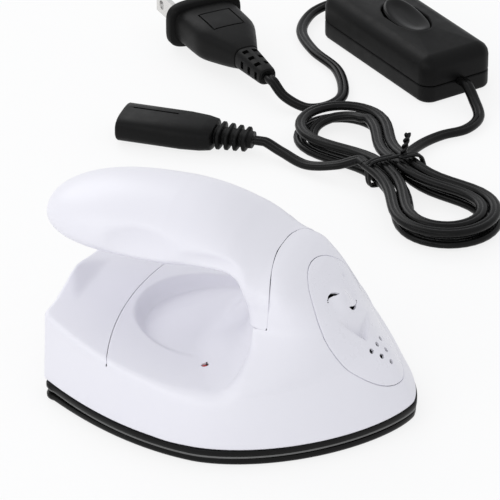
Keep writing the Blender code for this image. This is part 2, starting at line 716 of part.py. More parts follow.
def make_connector(mats):
    """Figure-eight connector lying flat, with a ribbed strain relief."""
    body = section_loft("connector", CONNECTOR_FRONT, CONNECTOR_HEADING,
                        [(0.0, 6.9, 3.6), (0.6, 7.5, 4.15), (29.0, 7.5, 4.15), (30.5, 4.6, 3.2), (31.5, 4.6, 3.2),
                         (31.6, 3.4, 2.3), (33.0, 3.4, 2.3), (33.1, 4.2, 3.0), (34.6, 4.2, 3.0), (34.7, 3.2, 2.2),
                         (36.0, 3.2, 2.2), (36.1, 3.8, 2.7), (37.5, 3.8, 2.7), (37.6, 2.9, 2.1), (40.6, 2.9, 2.1)],
                        mats["cord_black"])
    ahead = Vector(CONNECTOR_HEADING).normalized()
    side = Vector((-ahead.y, ahead.x, 0.0))
    for sign in (-1, 1):
        mouth = CONNECTOR_FRONT + side * (sign * PIN_PITCH / 2) - ahead
        combine(body, lathe("connector_bore", [(1.5, 0), (1.5, 12)], mouth, ahead, 12))
    return body


def make_plug(mats):
    """Two-blade plug lying flat, with a flange and a tapering relief."""
    body = section_loft("plug_body", PLUG_FACE, PLUG_HEADING,
                        [(0.0, 11.8, 7.0), (0.6, 12.3, 7.6), (3.4, 12.3, 7.6), (4.4, 10.6, 6.4), (16.0, 10.0, 6.2),
                         (24.0, 7.6, 5.4), (30.0, 4.4, 4.0), (30.8, 3.6, 3.4), (45.0, 2.6, 2.5)],
                        mats["cord_black"])
    ahead = Vector(PLUG_HEADING).normalized()
    side = Vector((-ahead.y, ahead.x, 0.0))
    for number, sign in ((1, -1), (2, 1)):
        centre = PLUG_FACE + side * (sign * BLADE_PITCH / 2)
        blade = oriented_box(f"plug_blade_{number}", centre - ahead * BLADE_LENGTH, centre + ahead * 6.0, side,
                             0.75, 3.15, mats["steel"])
        seat = oriented_box("blade_seat", centre - ahead * 1.0, centre + ahead * 6.3, side, 1.0, 3.4)
        combine(body, seat)
        hole_at = centre - ahead * (BLADE_LENGTH - 3.6) - side * 3
        combine(blade, lathe("blade_hole", [(1.5, 0), (1.5, 6)], hole_at, side, 12))
    return body


def oriented_box(name, start, end, side, half_wide, half_high, mat=None):
    rings = []
    for centre in (start, end):
        ring = []
        for across, up in ((-1, -1), (1, -1), (1, 1), (-1, 1)):
            ring.append(tuple(centre + side * (across * half_wide) + Vector((0, 0, up * half_high))))
        rings.append(ring)
    return loft(name, rings, mat)


def switch_frame():
    ahead = Vector(SWITCH_HEADING).normalized()
    side = Vector((-ahead.y, ahead.x, 0.0))
    return ahead, side


def switch_slab(name, half_long, half_wide, levels, mat=None):
    """Block with cut corners centred on the switch; levels list (z, inset)."""
    ahead, side = switch_frame()
    rings = []
    for z, inset in levels:
        long, wide = half_long - inset, half_wide - inset
        cut = 3.0
        plan = [(-long, -wide + cut), (-long + cut, -wide), (long - cut, -wide), (long, -wide + cut),
                (long, wide - cut), (long - cut, wide), (-long + cut, wide), (-long, wide - cut)]
        rings.append([tuple(SWITCH_CENTRE + ahead * a + side * b + Vector((0, 0, z))) for a, b in plan])
    return loft(name, rings, mat)


def make_switch(mats):
    """Two-part inline switch with a rocker on a pin."""
    ahead, side = switch_frame()
    bottom = switch_slab("switch_bottom", 28.5, 12.5, [(0.0, 0.8), (0.8, 0.0), (5.6, 0.0)], mats["cord_black"])
    combine(bottom, switch_slab("bottom_room", 26.0, 10.8, [(1.6, 0.0), (9.0, 0.0)]))
    top = switch_slab("switch_top", 28.5, 12.5, [(5.9, 0.0), (13.2, 0.0), (14.8, 1.6)], mats["cord_black"])
    combine(top, switch_slab("top_room", 26.0, 10.8, [(2.0, 0.0), (8.0, 0.0)]))
    well = [tuple(SWITCH_CENTRE + ahead * a + side * b) for a, b in stadium(ROCKER_HALF_LONG + 1.1, ROCKER_HALF_WIDE + 0.4)]
    combine(top, loft("rocker_well", [[(x, y, z) for x, y, _ in well] for z in (5.0, 20.0)]))
    pivot = SWITCH_CENTRE + Vector((0, 0, PIVOT_Z))
    combine(top, lathe("pin_seat", [(1.2, 0), (1.2, 2 * PIN_HALF + 0.6)], pivot - side * (PIN_HALF + 0.3), side, 12))
    lathe("rocker_pin", [(0.9, 0), (0.9, 2 * PIN_HALF)], pivot - side * PIN_HALF, side, 12, mats["steel"])
    for number, sign in ((1, -1), (2, 1)):
        place = SWITCH_CENTRE + ahead * (sign * 20.0)
        combine(bottom, lathe("switch_screw_hole", [(1.4, -1), (1.4, 9)], place, sides=8))
        screw(f"switch_screw_{number}", place + Vector((0, 0, 3.5)), (0, 0, 1), mats["steel"], 4.2, 0.0, 1.1)
        contact = SWITCH_CENTRE + ahead * (sign * 11.0)
        oriented_box(f"switch_contact_{number}", contact - ahead * 4 + Vector((0, 0, 2.6)),
                     contact + ahead * 4 + Vector((0, 0, 2.6)), side, 2.5, 0.6, mats["brass"])
    return top, bottom


def make_rocker(mats):
    """Rocker in its photographed state, with its origin on the pivot."""
    ahead, side = switch_frame()
    rings = []
    for z, inset in ((-2.2, 1.6), (0.0, 0.4), (3.4, 0.0), (4.4, 0.8)):
        ring = []
        for a, b in stadium(ROCKER_HALF_LONG - inset, ROCKER_HALF_WIDE - inset):
            crown = 0.55 * abs(a) / ROCKER_HALF_LONG if z > 3 else 0.0
            ring.append((a, b, z + crown))
        rings.append(ring)
    rocker = loft("switch_rocker", rings, mats["cord_black"])
    combine(rocker, lathe("rocker_bore", [(1.1, -20), (1.1, 20)], (0, 0, 0), (0, 1, 0), 12))
    rocker.data.materials.clear()
    rocker.data.materials.append(mats["cord_black"])
    basis = Matrix((ahead, side, Vector((0, 0, 1)))).transposed().to_4x4()
    tilt = Matrix.Rotation(math.radians(ROCKER_TILT), 4, "Y")
    rocker.data.transform(basis @ tilt)
    rocker.location = (SWITCH_CENTRE + Vector((0, 0, PIVOT_Z))) * MM
    return rocker


def hank_place(along, across, z):
    """Point in the hank's frame, on the floor."""
    ahead = floor_point(*HANK_HEADING, 0.0).normalized()
    side = Vector((-ahead.y, ahead.x, 0.0))
    return floor_point(*HANK_CENTRE, z) + ahead * along + side * across


def hank_points():
    """Centre line of the tied hank: two turns spiral in, then up a layer and out."""
    pitch = CORD_D + HANK_GAP
    steps = 24
    points = []
    first = steps // 8
    last = round(3.625 * steps)
    for step in range(first, last + 1):
        t = step / steps
        lap = t % 1.0
        upper = t >= 2.0
        end_radius = HANK_END_R - pitch * t if not upper else HANK_END_R - 1.7 * pitch + pitch * (t - 2.0)
        waist = HANK_WAIST_PITCH * (1.875 - t if not upper else 0.125 + t - 2.0)
        sign = 1.0 if lap < 0.5 else -1.0
        part = (lap % 0.5) / 0.25
        if part <= 1.0:
            along = sign * HANK_RUN * (2.0 * part - 1.0)
            draw = (0.5 - 0.5 * math.cos(math.pi * min(1.0, abs(along) / HANK_RUN))) ** 1.5
            across = sign * (waist + (end_radius - waist) * draw)
        else:
            turn = math.pi * (part - 1.0)
            along = sign * (HANK_RUN + end_radius * math.sin(turn))
            across = sign * end_radius * math.cos(turn)
        climb = min(1.0, max(0.0, (t - 1.75) / 0.25))
        lift = HANK_WAIST_LIFT * math.exp(-(along / 11.0) ** 2)
        z = CORD_D / 2 + 0.1 + lift + pitch * climb
        points.append(hank_place(along, across, z))
    return points


def make_cords(mats):
    radius = CORD_D / 2
    centre_line = hank_points()
    back = (hank_place(0, 0, 0) - hank_place(1, 0, 0)).normalized()
    hank = [centre_line[0] + back * CORD_D] + centre_line + [centre_line[-1] + back * CORD_D]
    tube("cord_hank", hank, radius, mats["cord"], 1)
    ahead, _ = switch_frame()
    connector_ahead = Vector(CONNECTOR_HEADING).normalized()
    plug_ahead = Vector(PLUG_HEADING).normalized()
    plug_end = PLUG_FACE + plug_ahead * (45.0 + GAP)
    switch_left = SWITCH_CENTRE - ahead * (28.5 + GAP) + Vector((0, 0, 5.8))
    switch_right = SWITCH_CENTRE + ahead * (28.5 + GAP) + Vector((0, 0, 5.8))
    connector_end = CONNECTOR_FRONT + connector_ahead * (40.6 + GAP)
    joins = {
        "cord_plug_to_switch": ([plug_end, plug_end + plug_ahead * CORD_D], PLUG_TO_SWITCH,
                                [switch_left - ahead * CORD_D, switch_left]),
        "cord_switch_to_hank": ([switch_right, switch_right + ahead * CORD_D], SWITCH_TO_HANK,
                                [hank[0] + back * (GAP + CORD_D), hank[0] + back * GAP]),
        "cord_hank_to_connector": ([hank[-1] + back * GAP, hank[-1] + back * (GAP + CORD_D)],
                                   HANK_TO_CONNECTOR,
                                   [connector_end + connector_ahead * CORD_D, connector_end]),
    }
    for name, (start, middle, end) in joins.items():
        points = route(start + [floor_point(*p) for p in middle] + end, 2.2 * CORD_D)
        tube(name, points, radius, mats["cord"], 2)


def make_tie(mats):
    """Flat wire tie round the waist of the hank."""
    low, high = TIE_ROOM_Z
    left, right = TIE_ROOM_Y
    rings = []
    for along in (-1.3, 1.3):
        rings.append([tuple(hank_place(along, y, z)) for y, z in
                      ((left - 0.7, low - 0.7), (right + 0.7, low - 0.7), (right + 0.7, high + 0.7),
                       (left - 0.7, high + 0.7))])
    tie = loft("cord_tie", rings, mats["tie"])
    bore = []
    for along in (-3.0, 3.0):
        bore.append([tuple(hank_place(along, y, z)) for y, z in ((left, low), (right, low), (right, high), (left, high))])
    combine(tie, loft("tie_bore", bore))
    return tie


def build():
    clear_scene()
    mats = {
        "white": material("white_shell", WHITE, 0.42),
        "panel": material("panel_white", WHITE, 0.36),
        "sole": material("sole_coat", BLACK, 0.32),
        "steel": material("bright_steel", METAL, 0.25, 1.0),
        "black": material("skirt_black", BLACK, 0.45),
        "brass": material("brass", BRASS, 0.35, 1.0),
        "mica": material("mica", (0.55, 0.48, 0.36, 1.0), 0.5),
        "lamp": material("lamp_red", (0.45, 0.03, 0.03, 1.0), 0.2),
        "board": material("board_green", (0.03, 0.16, 0.07, 1.0), 0.5),
        "wire": material("wire_sleeve", (0.6, 0.6, 0.58, 1.0), 0.5),
        "cord_black": material("fitting_black", BLACK, 0.42),
        "cord": material("cord_black", BLACK, 0.5),
        "tie": material("tie_black", BLACK, 0.55),
    }
    sole = make_soleplate(mats)
    trim = plate_ring("edge_trim", SOLE_TOP + 0.2, SHIELD_TOP, 0.0, mats["steel"])
    skirt = plate_ring("insulating_skirt", SHIELD_TOP + 0.2, SKIRT_TOP, SKIRT_REACH, mats["black"])
    fasten_stack(skirt, trim, sole, mats)
    shell = make_main_shell(mats)
    cover = make_heel_cover(mats)
    panel = make_front_panel(shell, mats)
    handle, under = make_handle(mats)
    cup = make_inlet(mats)
    make_internals(mats)
    for number, side in ((1, -1), (2, 1)):
        screw(f"handle_screw_{number}", (HANDLE_SCREW_X, side * HANDLE_SCREW_Y, LEDGE_Z - WALL - 0.4),
              (0, 0, 1), mats["steel"], 10.0, 2.6, 1.2)
    for piece in (sole, trim, skirt, shell, cover, panel, handle, under, cup):
        smooth(piece)
    smooth(make_connector(mats))
    smooth(make_plug(mats))
    for piece in make_switch(mats):
        smooth(piece, 20.0)
    smooth(make_rocker(mats))
    make_cords(mats)
    make_tie(mats)


build()
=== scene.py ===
"""Looks of the mini craft iron and its cord set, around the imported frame.

Lengths are in millimetres and become metres where a mesh is made.
"""
import math

import bmesh
import bpy
import numpy as np
from mathutils import Matrix, Vector


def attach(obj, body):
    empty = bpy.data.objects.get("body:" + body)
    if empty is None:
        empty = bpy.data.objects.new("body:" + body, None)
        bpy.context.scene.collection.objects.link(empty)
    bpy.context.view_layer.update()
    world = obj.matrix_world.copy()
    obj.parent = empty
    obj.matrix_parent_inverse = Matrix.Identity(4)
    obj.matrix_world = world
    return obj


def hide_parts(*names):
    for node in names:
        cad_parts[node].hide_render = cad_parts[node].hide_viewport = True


MM = 0.001
GAP = 0.3

# The photograph's view
VIEW_AZIMUTH = 20.66
VIEW_ELEVATION = 29.5
VIEW_DISTANCE = 1.2076
VIEW_RIGHT = 0.00456
VIEW_UP = 0.03564
LENS = 324.0

# Cord set, as (right, away) places on the floor
CORD_WIDTH = 3.5
CORD_LOBE = 1.12
CORD_PITCH = 3.2
HANK_GAP = 0.62
HANK_CENTRE = (46.0, 112.0)
HANK_HEADING = (0.5, -0.866)
HANK_RUN = 29.0
HANK_END_R = 15.5
HANK_WAIST_LIFT = 1.0
HANK_WAIST_PITCH = 4.15
PLUG_TO_SWITCH = [(15.0, 158.2, 4.0), (21.5, 155.6, 1.7), (28.5, 157.5, 1.7), (32.5, 165.0, 1.7),
                  (31.0, 180.0, 1.7), (24.0, 193.0, 1.7), (20.5, 206.0, 1.7), (23.5, 217.5, 2.0),
                  (30.0, 222.0, 3.4)]
SWITCH_TO_HANK = [(71.3, 157.5, 3.6), (72.5, 149.5, 1.8), (68.5, 142.0, 1.7), (61.0, 138.0, 1.7),
                  (54.6, 131.8, 1.9)]
HANK_TO_CONNECTOR = [(29.5, 114.6, 4.4), (21.0, 118.8, 2.2), (14.0, 125.3, 2.9)]

# Base of the iron, seen from above, and its stack of layers
HIP_X = 4.0
NOSE_X = 51.4
HEEL_X = -45.6
HIP_HALF = 41.7
HEEL_HALF = 24.6
HEEL_CORNER = 2.6
NOSE_POWER_X = 1.75
SIDE_POWER = 1.85
FLANK_DRAFT = 0.16
SHELL_BOTTOM = 5.0
SOLE_TOP = 2.2
SHIELD_TOP = 3.0
SKIRT_TOP = 4.8
SOLE_NOSE_X = 51.4
SOLE_HIP_HALF = 41.3
SOLE_HEEL_X = -44.0
SOLE_HEEL_HALF = 26.2
SOLE_POWER_Y = 1.48
TRIM_HEEL_HALF = 25.4
TRIM_POWER_Y = 1.44
SKIRT_REACH = 0.3
RING_WIDTH = 13.0

# Deck, dish, hood and pedestal
DECK_Z = 19.4
HEEL_RISE = 5.4
DECK_RISE_X = -2.0
DECK_POWER = 1.4
DISH_X = -4.4
DISH_R = 22.3
DISH_WALL = 3.0
DISH_DEPTH = 1.7
LEDGE_Z = 31.0
CREST = [(4.8, 51.4), (16.3, 44.7), (21.0, 40.5), (26.0, 36.5), (31.4, 32.5), (35.0, 29.7), (40.0, 24.8),
         (43.7, 20.6), (45.2, 19.8), (46.0, 19.6)]
SEAM = [(38.0, 17.2), (40.0, 17.03), (42.0, 16.52), (44.0, 15.67), (45.2, 15.0), (46.2, 14.3)]
HULL_START = [(19.0, 4.0), (20.0, 5.0), (22.0, 10.0), (25.0, 15.2), (28.0, 17.0), (31.0, 17.2)]
HULL_HALF = [(4.8, 41.7), (19.0, 39.4), (20.0, 38.6), (22.0, 34.6), (25.0, 28.2), (28.0, 23.5), (31.0, 20.4),
             (35.0, 19.4), (40.0, 17.8), (43.7, 13.6), (45.2, 11.6), (46.0, 11.0)]
HULL_POWER_X = [(19.0, 1.75), (25.0, 1.88), (31.0, 2.2)]
HULL_POWER_Y = [(4.8, 1.52), (12.0, 1.45), (19.0, 1.40), (22.0, 1.48), (25.0, 1.66), (28.0, 1.98),
                (31.0, 2.55), (36.0, 2.6), (40.0, 2.0)]
PEDESTAL = [(19.0, 0.5), (20.0, 2.0), (22.0, 4.4), (25.0, 6.8), (28.0, 8.4), (31.0, 9.3)]
PEDESTAL_CORNER = [(18.8, 15.0), (19.6, 18.0), (21.4, 21.2), (24.0, 21.2), (27.0, 19.8), (31.0, 17.2)]
EDGE_ROUND = [(-45.0, 1.0), (-28.0, 1.4), (0.0, 2.8), (20.0, 3.2)]
VALLEY_ROUND = 5.5
FLANK_HEIGHT = 14.2
HEEL_LEAN = 0.02
HEEL_ROUND = 1.4
BODY_NET = ((-47.2, -43.4, 3.0), (53.4, 43.4, 49.6), 1.1)

# Lips of the cuts: roundness and depth
COVER_LIP = (0.12, 1.2)
RIM_LIP = (0.35, 1.6)
SEAM_LIP = (0.14, 1.2)
PANEL_HOLE_LIP = (0.25, 1.2)
PANEL_LIP = (0.3, 1.2)
SLIT_LIP = (0.12, 0.75)
LAMP_LIP = (0.15, 0.6)
SOCKET_LIP = (0.15, 1.6)
HANDLE_LIP = (0.16, 1.2)
PARTING_LIP = (0.12, 1.0)

# Heel cover and the low pyramid over the inlet
COVER_X = -28.4
COVER_BOW = 194.0
COVER_THICK = 2.0
COVER_GAP = 0.2
COVER_HAIR = 0.06
HUMP_TOP = (-45.6, 27.9)
HUMP_BASE = (-40.2, 12.0, 23.7)
HUMP_SIDE = (11.8, 24.8)
INLET_Z = 15.0
SOCKET_HALF_Y = 8.6
SOCKET_HALF_Z = 5.2
SOCKET_ROOM = 0.45
LAMP_HOLE = (1.4, -24.2, 1.15)

# Handle and the arch of the hood in front of it: x, half-width, height of the widest line, top, bottom, power
HANDLE_TAIL_X = -14.0
HANDLE_TAIL_RUN = 37.9
HANDLE_BAR = [(-14.0, 17.5, 46.0, 57.8, 38.8, 2.1), (-9.0, 17.45, 45.8, 57.4, 39.8, 2.1),
              (-3.0, 17.4, 45.6, 56.0, 41.2, 2.1), (3.5, 17.6, 45.2, 52.9, 41.8, 2.1),
              (7.2, 17.9, 43.8, 50.5, 40.8, 2.15), (9.5, 18.4, 41.4, 49.1, 39.0, 2.2),
              (12.0, 18.9, 38.4, 47.6, 36.0, 2.3), (14.4, 19.2, 36.6, 46.15, 32.5, 2.4),
              (17.2, 19.3, 36.0, 45.05, 29.0, 2.4), (20.0, 19.5, 35.6, 43.5, 28.0, 2.4),
              (24.0, 20.5, 33.5, 41.0, 26.0, 2.4)]
HANDLE_NET = ((-53.5, -22.0, 28.0), (19.9, 22.0, 59.8), 0.95)
HANDLE_END_X = -51.8
STRUT_REAR = 9.3
STRUT_CORNER = (12.9, 20.4)
SCOOPS = [((-20.5, 26.0, 48.6), (17.0, 11.2, 12.0)), ((1.0, 25.4, 46.4), (17.0, 9.4, 5.2))]
PARTING_Z = 42.4
PARTING_X = 3.0
PARTING_GAP = 0.07

# Switch and its rocker, plug, connector and wire tie
SWITCH_HALF_LONG = 28.5
SWITCH_HALF_WIDE = 12.5
SWITCH_CORNER = 4.2
SWITCH_EXIT_Z = 5.8
TOP_INSET = 4.1
TOP_CORNER = 0.9
ROCKER_HALF_LONG = 9.5
ROCKER_HALF_WIDE = 5.4
ROCKER_TILT = 9.0
PIVOT_Z = 11.6
PIN_PITCH = 8.6
BLADE_PITCH = 12.7
PLUG_LENGTH = 45.0
CONNECTOR_LENGTH = 40.6
TIE_R = 0.5
TIE_UP = (0.31, 0.52, 0.8)
TIE_LOOP = [(0.0, 8.65), (-4.6, 8.6), (-7.0, 8.2), (-8.2, 7.0), (-8.3, 5.4), (-8.1, 3.4), (-7.7, 1.6),
            (-6.4, 0.8), (0.0, 0.75), (6.9, 0.8), (9.0, 1.6), (9.5, 3.1), (9.0, 5.4), (8.0, 7.5), (5.5, 8.6)]

# Front panel, in its own frame that leans with the crest
PANEL_AXIS = (0.755, 0.0, 0.656)
PANEL_CENTRE_X = 31.5
PANEL_CENTRE_Z = 30.5
PANEL_MIDDLE = 5.3
PANEL_HALF_LONG = 20.0
PANEL_HALF_WIDE = 14.4
PANEL_PITCH = 0.36
DOME_ALONG = -1.6
DOME_ACROSS = -1.7
DOME_R = 5.0
DOME_RISE = 1.05
SLIT_LINE = [(-2.8, -6.0), (-3.5, -5.2), (-3.8, -3.8), (-3.6, -2.2), (-2.9, -0.9), (-2.1, 0.3)]
VENT_R = 0.78
VENTS = [(19.5, 0.0), (16.5, -1.75), (16.5, 1.75), (13.5, -3.5), (13.5, 0.0), (13.5, 3.5)]
RELIEF = [(-0.6, -9.3), (11.0, -2.7), (6.2, 8.2)]
RELIEF_DEPTH = 3.8
RELIEF_RUN = 10.0
DIMPLE = (-5.6, 6.7)
DIMPLE_R = 0.9
DIMPLE_DEPTH = 0.5

# Light: name, place, size and power of each lamp, in metres and watts
LAMPS = [("key", (-0.8, 0.7, 0.75), 0.7, 3.0), ("side", (-0.7, -0.75, 0.75), 0.8, 2.4),
         ("fill", (0.05, -1.15, 0.45), 0.9, 2.2)]
LAMP_AIM = (0.0, 0.02, 0.03)
AMBIENT = 0.8
FLOOR_HALF = 3.0
FLOOR_Z = -0.0002
FLOOR_GLOW = 0.82

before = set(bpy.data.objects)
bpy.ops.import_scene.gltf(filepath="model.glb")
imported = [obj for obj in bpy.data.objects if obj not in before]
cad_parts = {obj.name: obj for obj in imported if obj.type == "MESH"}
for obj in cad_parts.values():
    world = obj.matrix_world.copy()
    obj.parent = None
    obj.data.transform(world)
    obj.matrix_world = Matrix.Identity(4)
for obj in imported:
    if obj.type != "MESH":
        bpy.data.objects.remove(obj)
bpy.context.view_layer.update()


def floor_point(right, away, z):
    """Floor place by its distance to the right of and away from the origin, as the camera sees it."""
    turn = math.radians(VIEW_AZIMUTH)
    return Vector((right * math.cos(turn) - away * math.sin(turn),
                   right * math.sin(turn) + away * math.cos(turn), z))


class Place:
    """A level frame on the floor: along its heading, across it and up."""

    def __init__(self, origin, heading):
        self.origin = floor_point(*origin)
        self.ahead = floor_point(*heading, 0.0).normalized()
        self.side = Vector((-self.ahead.y, self.ahead.x, 0.0))

    def point(self, along, across, up):
        return self.origin + self.ahead * along + self.side * across + Vector((0, 0, up))


SWITCH_AT = Place((52.0, 190.0, 0.0), (0.54, -0.84))
PLUG_AT = Place((-10.5, 204.0, 7.7), (0.454, -0.891))
CONNECTOR_AT = Place((-33.2, 142.3, 4.25), (0.956, -0.294))
HANK_AT = Place((*HANK_CENTRE, 0.0), HANK_HEADING)


def link_object(name, data):
    obj = bpy.data.objects.new(name, data)
    bpy.context.scene.collection.objects.link(obj)
    return obj


def make_camera():
    turn, tip = math.radians(VIEW_AZIMUTH), math.radians(VIEW_ELEVATION)
    right = Vector((math.cos(turn), math.sin(turn), 0.0))
    up = Vector((-math.sin(turn) * math.sin(tip), math.cos(turn) * math.sin(tip), math.cos(tip)))
    back = right.cross(up)
    data = bpy.data.cameras.new("view")
    data.lens = LENS
    data.sensor_width = 36.0
    data.clip_start = 0.05
    data.clip_end = 20.0
    camera = link_object("view", data)
    place = Matrix((right, up, back)).transposed().to_4x4()
    place.translation = back * VIEW_DISTANCE + right * VIEW_RIGHT + up * VIEW_UP
    camera.matrix_world = place
    bpy.context.scene.camera = camera


# Materials


class Nodes:
    """Short way to lay out one material's nodes."""

    def __init__(self, name):
        self.material = bpy.data.materials.new(name)
        self.material.use_nodes = True
        self.tree = self.material.node_tree
        self.shader = self.tree.nodes["Principled BSDF"]

    def add(self, kind, values=None, **settings):
        node = self.tree.nodes.new(kind)
        for key, value in settings.items():
            setattr(node, key, value)
        for key, value in (values or {}).items():
            node.inputs[key].default_value = value
        return node

    def link(self, output, target):
        self.tree.links.new(output, target)

    def noise(self, scale, detail=3.0, rough=0.55):
        place = self.add("ShaderNodeTexCoord")
        noise = self.add("ShaderNodeTexNoise", {"Scale": scale, "Detail": detail, "Roughness": rough})
        self.link(place.outputs["Object"], noise.inputs["Vector"])
        return noise.outputs["Fac"]

    def vary(self, fac, low, high, socket):
        """Runs fac through a colour or value range into a shader socket."""
        if isinstance(low, (int, float)):
            ramp = self.add("ShaderNodeMapRange", {"From Min": 0.3, "From Max": 0.7,
                                                   "To Min": low, "To Max": high})
            self.link(fac, ramp.inputs["Value"])
            self.link(ramp.outputs["Result"], self.shader.inputs[socket])
        else:
            mix = self.add("ShaderNodeMix", data_type="RGBA")
            mix.inputs[6].default_value = low
            mix.inputs[7].default_value = high
            self.link(fac, mix.inputs[0])
            self.link(mix.outputs[2], self.shader.inputs[socket])

    def bump(self, fac, strength, distance):
        bump = self.add("ShaderNodeBump", {"Strength": strength, "Distance": distance})
        self.link(fac, bump.inputs["Height"])
        self.link(bump.outputs["Normal"], self.shader.inputs["Normal"])


def tone(value):
    """Colour from a grey level, or from red, green and blue."""
    return (value,) * 3 + (1.0,) if isinstance(value, float) else (*value, 1.0)


def plastic(name, low, high, rough_low, rough_high, grain, grain_strength, specular=0.5):
    """Moulded plastic: faint tone drift, uneven gloss and a fine grain."""
    nodes = Nodes(name)
    nodes.vary(nodes.noise(45.0, 4.0), tone(low), tone(high), "Base Color")
    nodes.vary(nodes.noise(260.0, 4.0), rough_low, rough_high, "Roughness")
    nodes.bump(nodes.noise(grain, 2.0), grain_strength, 0.0001)
    nodes.shader.inputs["Specular IOR Level"].default_value = specular
    return nodes.material


def metal(name, low, high, rough_low, rough_high):
    """Rolled or turned metal with a fine uneven gloss."""
    nodes = Nodes(name)
    noise = nodes.noise(900.0, 3.0, 0.5)
    nodes.vary(noise, tone(low), tone(high), "Base Color")
    nodes.vary(noise, rough_low, rough_high, "Roughness")
    nodes.bump(noise, 0.12, 0.00005)
    nodes.shader.inputs["Metallic"].default_value = 1.0
    return nodes.material


def make_materials():
    white = ((0.80, 0.793, 0.85), (0.815, 0.808, 0.862))
    return {
        "shell": plastic("white_plastic", *white, 0.36, 0.42, 2600.0, 0.03),
        "panel": plastic("panel_plastic", *white, 0.26, 0.31, 2600.0, 0.015),
        "sole": plastic("sole_coating", 0.002, 0.005, 0.22, 0.3, 5200.0, 0.08, 0.14),
        "skirt": plastic("skirt_plastic", 0.003, 0.006, 0.3, 0.4, 3200.0, 0.08, 0.14),
        "fitting": plastic("fitting_plastic", 0.003, 0.005, 0.4, 0.5, 4200.0, 0.25, 0.12),
        "rocker": plastic("rocker_plastic", 0.002, 0.003, 0.14, 0.2, 3200.0, 0.04, 0.2),
        "cord": plastic("cord_jacket", 0.002, 0.004, 0.24, 0.32, 2400.0, 0.1, 0.16),
        "tie": plastic("tie_film", 0.002, 0.005, 0.24, 0.32, 1800.0, 0.15, 0.25),
        "edge": metal("edge_steel", 0.12, 0.2, 0.36, 0.5),
        "blade": metal("blade_steel", (0.62, 0.61, 0.6), (0.78, 0.77, 0.75), 0.16, 0.3),
        "steel": metal("inner_steel", 0.48, 0.62, 0.3, 0.42),
        "brass": metal("brass", (0.6, 0.42, 0.17), (0.72, 0.53, 0.25), 0.22, 0.36),
        "mica": plastic("mica", (0.5, 0.42, 0.3), (0.62, 0.54, 0.4), 0.35, 0.55, 900.0, 0.3),
        "ceramic": plastic("ceramic", 0.72, 0.8, 0.3, 0.45, 1500.0, 0.2),
        "lamp": plastic("lamp_lens", (0.36, 0.012, 0.014), (0.46, 0.02, 0.02), 0.12, 0.2, 900.0, 0.03),
        "board": plastic("board_laminate", (0.02, 0.13, 0.05), (0.03, 0.18, 0.07), 0.4, 0.55, 1500.0, 0.3),
        "sleeve": plastic("wire_sleeve", 0.55, 0.68, 0.45, 0.6, 5200.0, 0.4),
    }


NODE_MATERIALS = {
    "sole": "soleplate",
    "edge": "edge_trim",
    "skirt": "insulating_skirt inlet_socket",
    "shell": "main_shell heel_cover handle_top handle_underside",
    "panel": "front_panel",
    "brass": "inlet_pin_1 inlet_pin_2 thermostat switch_contact_1 switch_contact_2",
    "mica": "mica_sheet",
    "steel": "heating_element heater_clamp clamp_screw_1 clamp_screw_2 sole_screw_1 sole_screw_2 "
             "sole_screw_3 sole_screw_4 handle_screw_1 handle_screw_2 switch_screw_1 switch_screw_2 "
             "rocker_pin",
    "ceramic": "thermal_fuse",
    "lamp": "led_lamp",
    "board": "led_board",
    "sleeve": "live_wire neutral_wire",
    "fitting": "connector plug_body switch_top switch_bottom",
    "blade": "plug_blade_1 plug_blade_2",
    "rocker": "switch_rocker",
    "cord": "cord_plug_to_switch cord_switch_to_hank cord_hank cord_hank_to_connector",
    "tie": "cord_tie",
}


def dress_nodes(mats):
    """Gives each carried-over CAD node its procedural material."""
    for key, names in NODE_MATERIALS.items():
        for name in names.split():
            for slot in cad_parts[name].material_slots:
                slot.material = mats[key]


# Mesh helpers


def make_piece(name, mesh, mat, body, nodes, angle=None):
    """Turns a mesh in metres into a piece that rides on a body."""
    mesh.materials.append(mat)
    mesh.shade_smooth()
    if angle:
        mesh.set_sharp_from_angle(angle=math.radians(angle))
    obj = link_object(name, mesh)
    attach(obj, body)
    if nodes:
        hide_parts(*nodes)
    return obj


def ring_faces(rings, count, closed=True):
    """Quads between successive rings, with end caps where closed."""
    faces = []
    for low in range(0, (rings - 1) * count, count):
        for i in range(count):
            j = (i + 1) % count
            faces.append((low + i, low + j, low + count + j, low + count + i))
    if closed:
        faces.append(tuple(reversed(range(count))))
        faces.append(tuple(range((rings - 1) * count, rings * count)))
    return faces


def loft_piece(name, rings, mat, body, nodes=(), angle=35, closed=True):
    """Smooth piece through rings of equal length, in millimetres."""
    mesh = bpy.data.meshes.new(name)
    verts = np.array([point for ring in rings for point in ring], float) * MM
    mesh.from_pydata(verts.tolist(), [], ring_faces(len(rings), len(rings[0]), closed))
    obj = make_piece(name, mesh, mat, body, nodes, angle)
    fix_normals(mesh)
    return obj


def fix_normals(mesh):
    shape = bmesh.new()
    shape.from_mesh(mesh)
    bmesh.ops.recalc_face_normals(shape, faces=shape.faces)
    shape.to_mesh(mesh)
    shape.free()


def circle(count, radius=1.0, phase=0.0):
    turns = [2 * math.pi * (i + phase) / count for i in range(count)]
    return [(radius * math.cos(turn), radius * math.sin(turn)) for turn in turns]


# Smooth field of the iron's body: negative inside, in millimetres


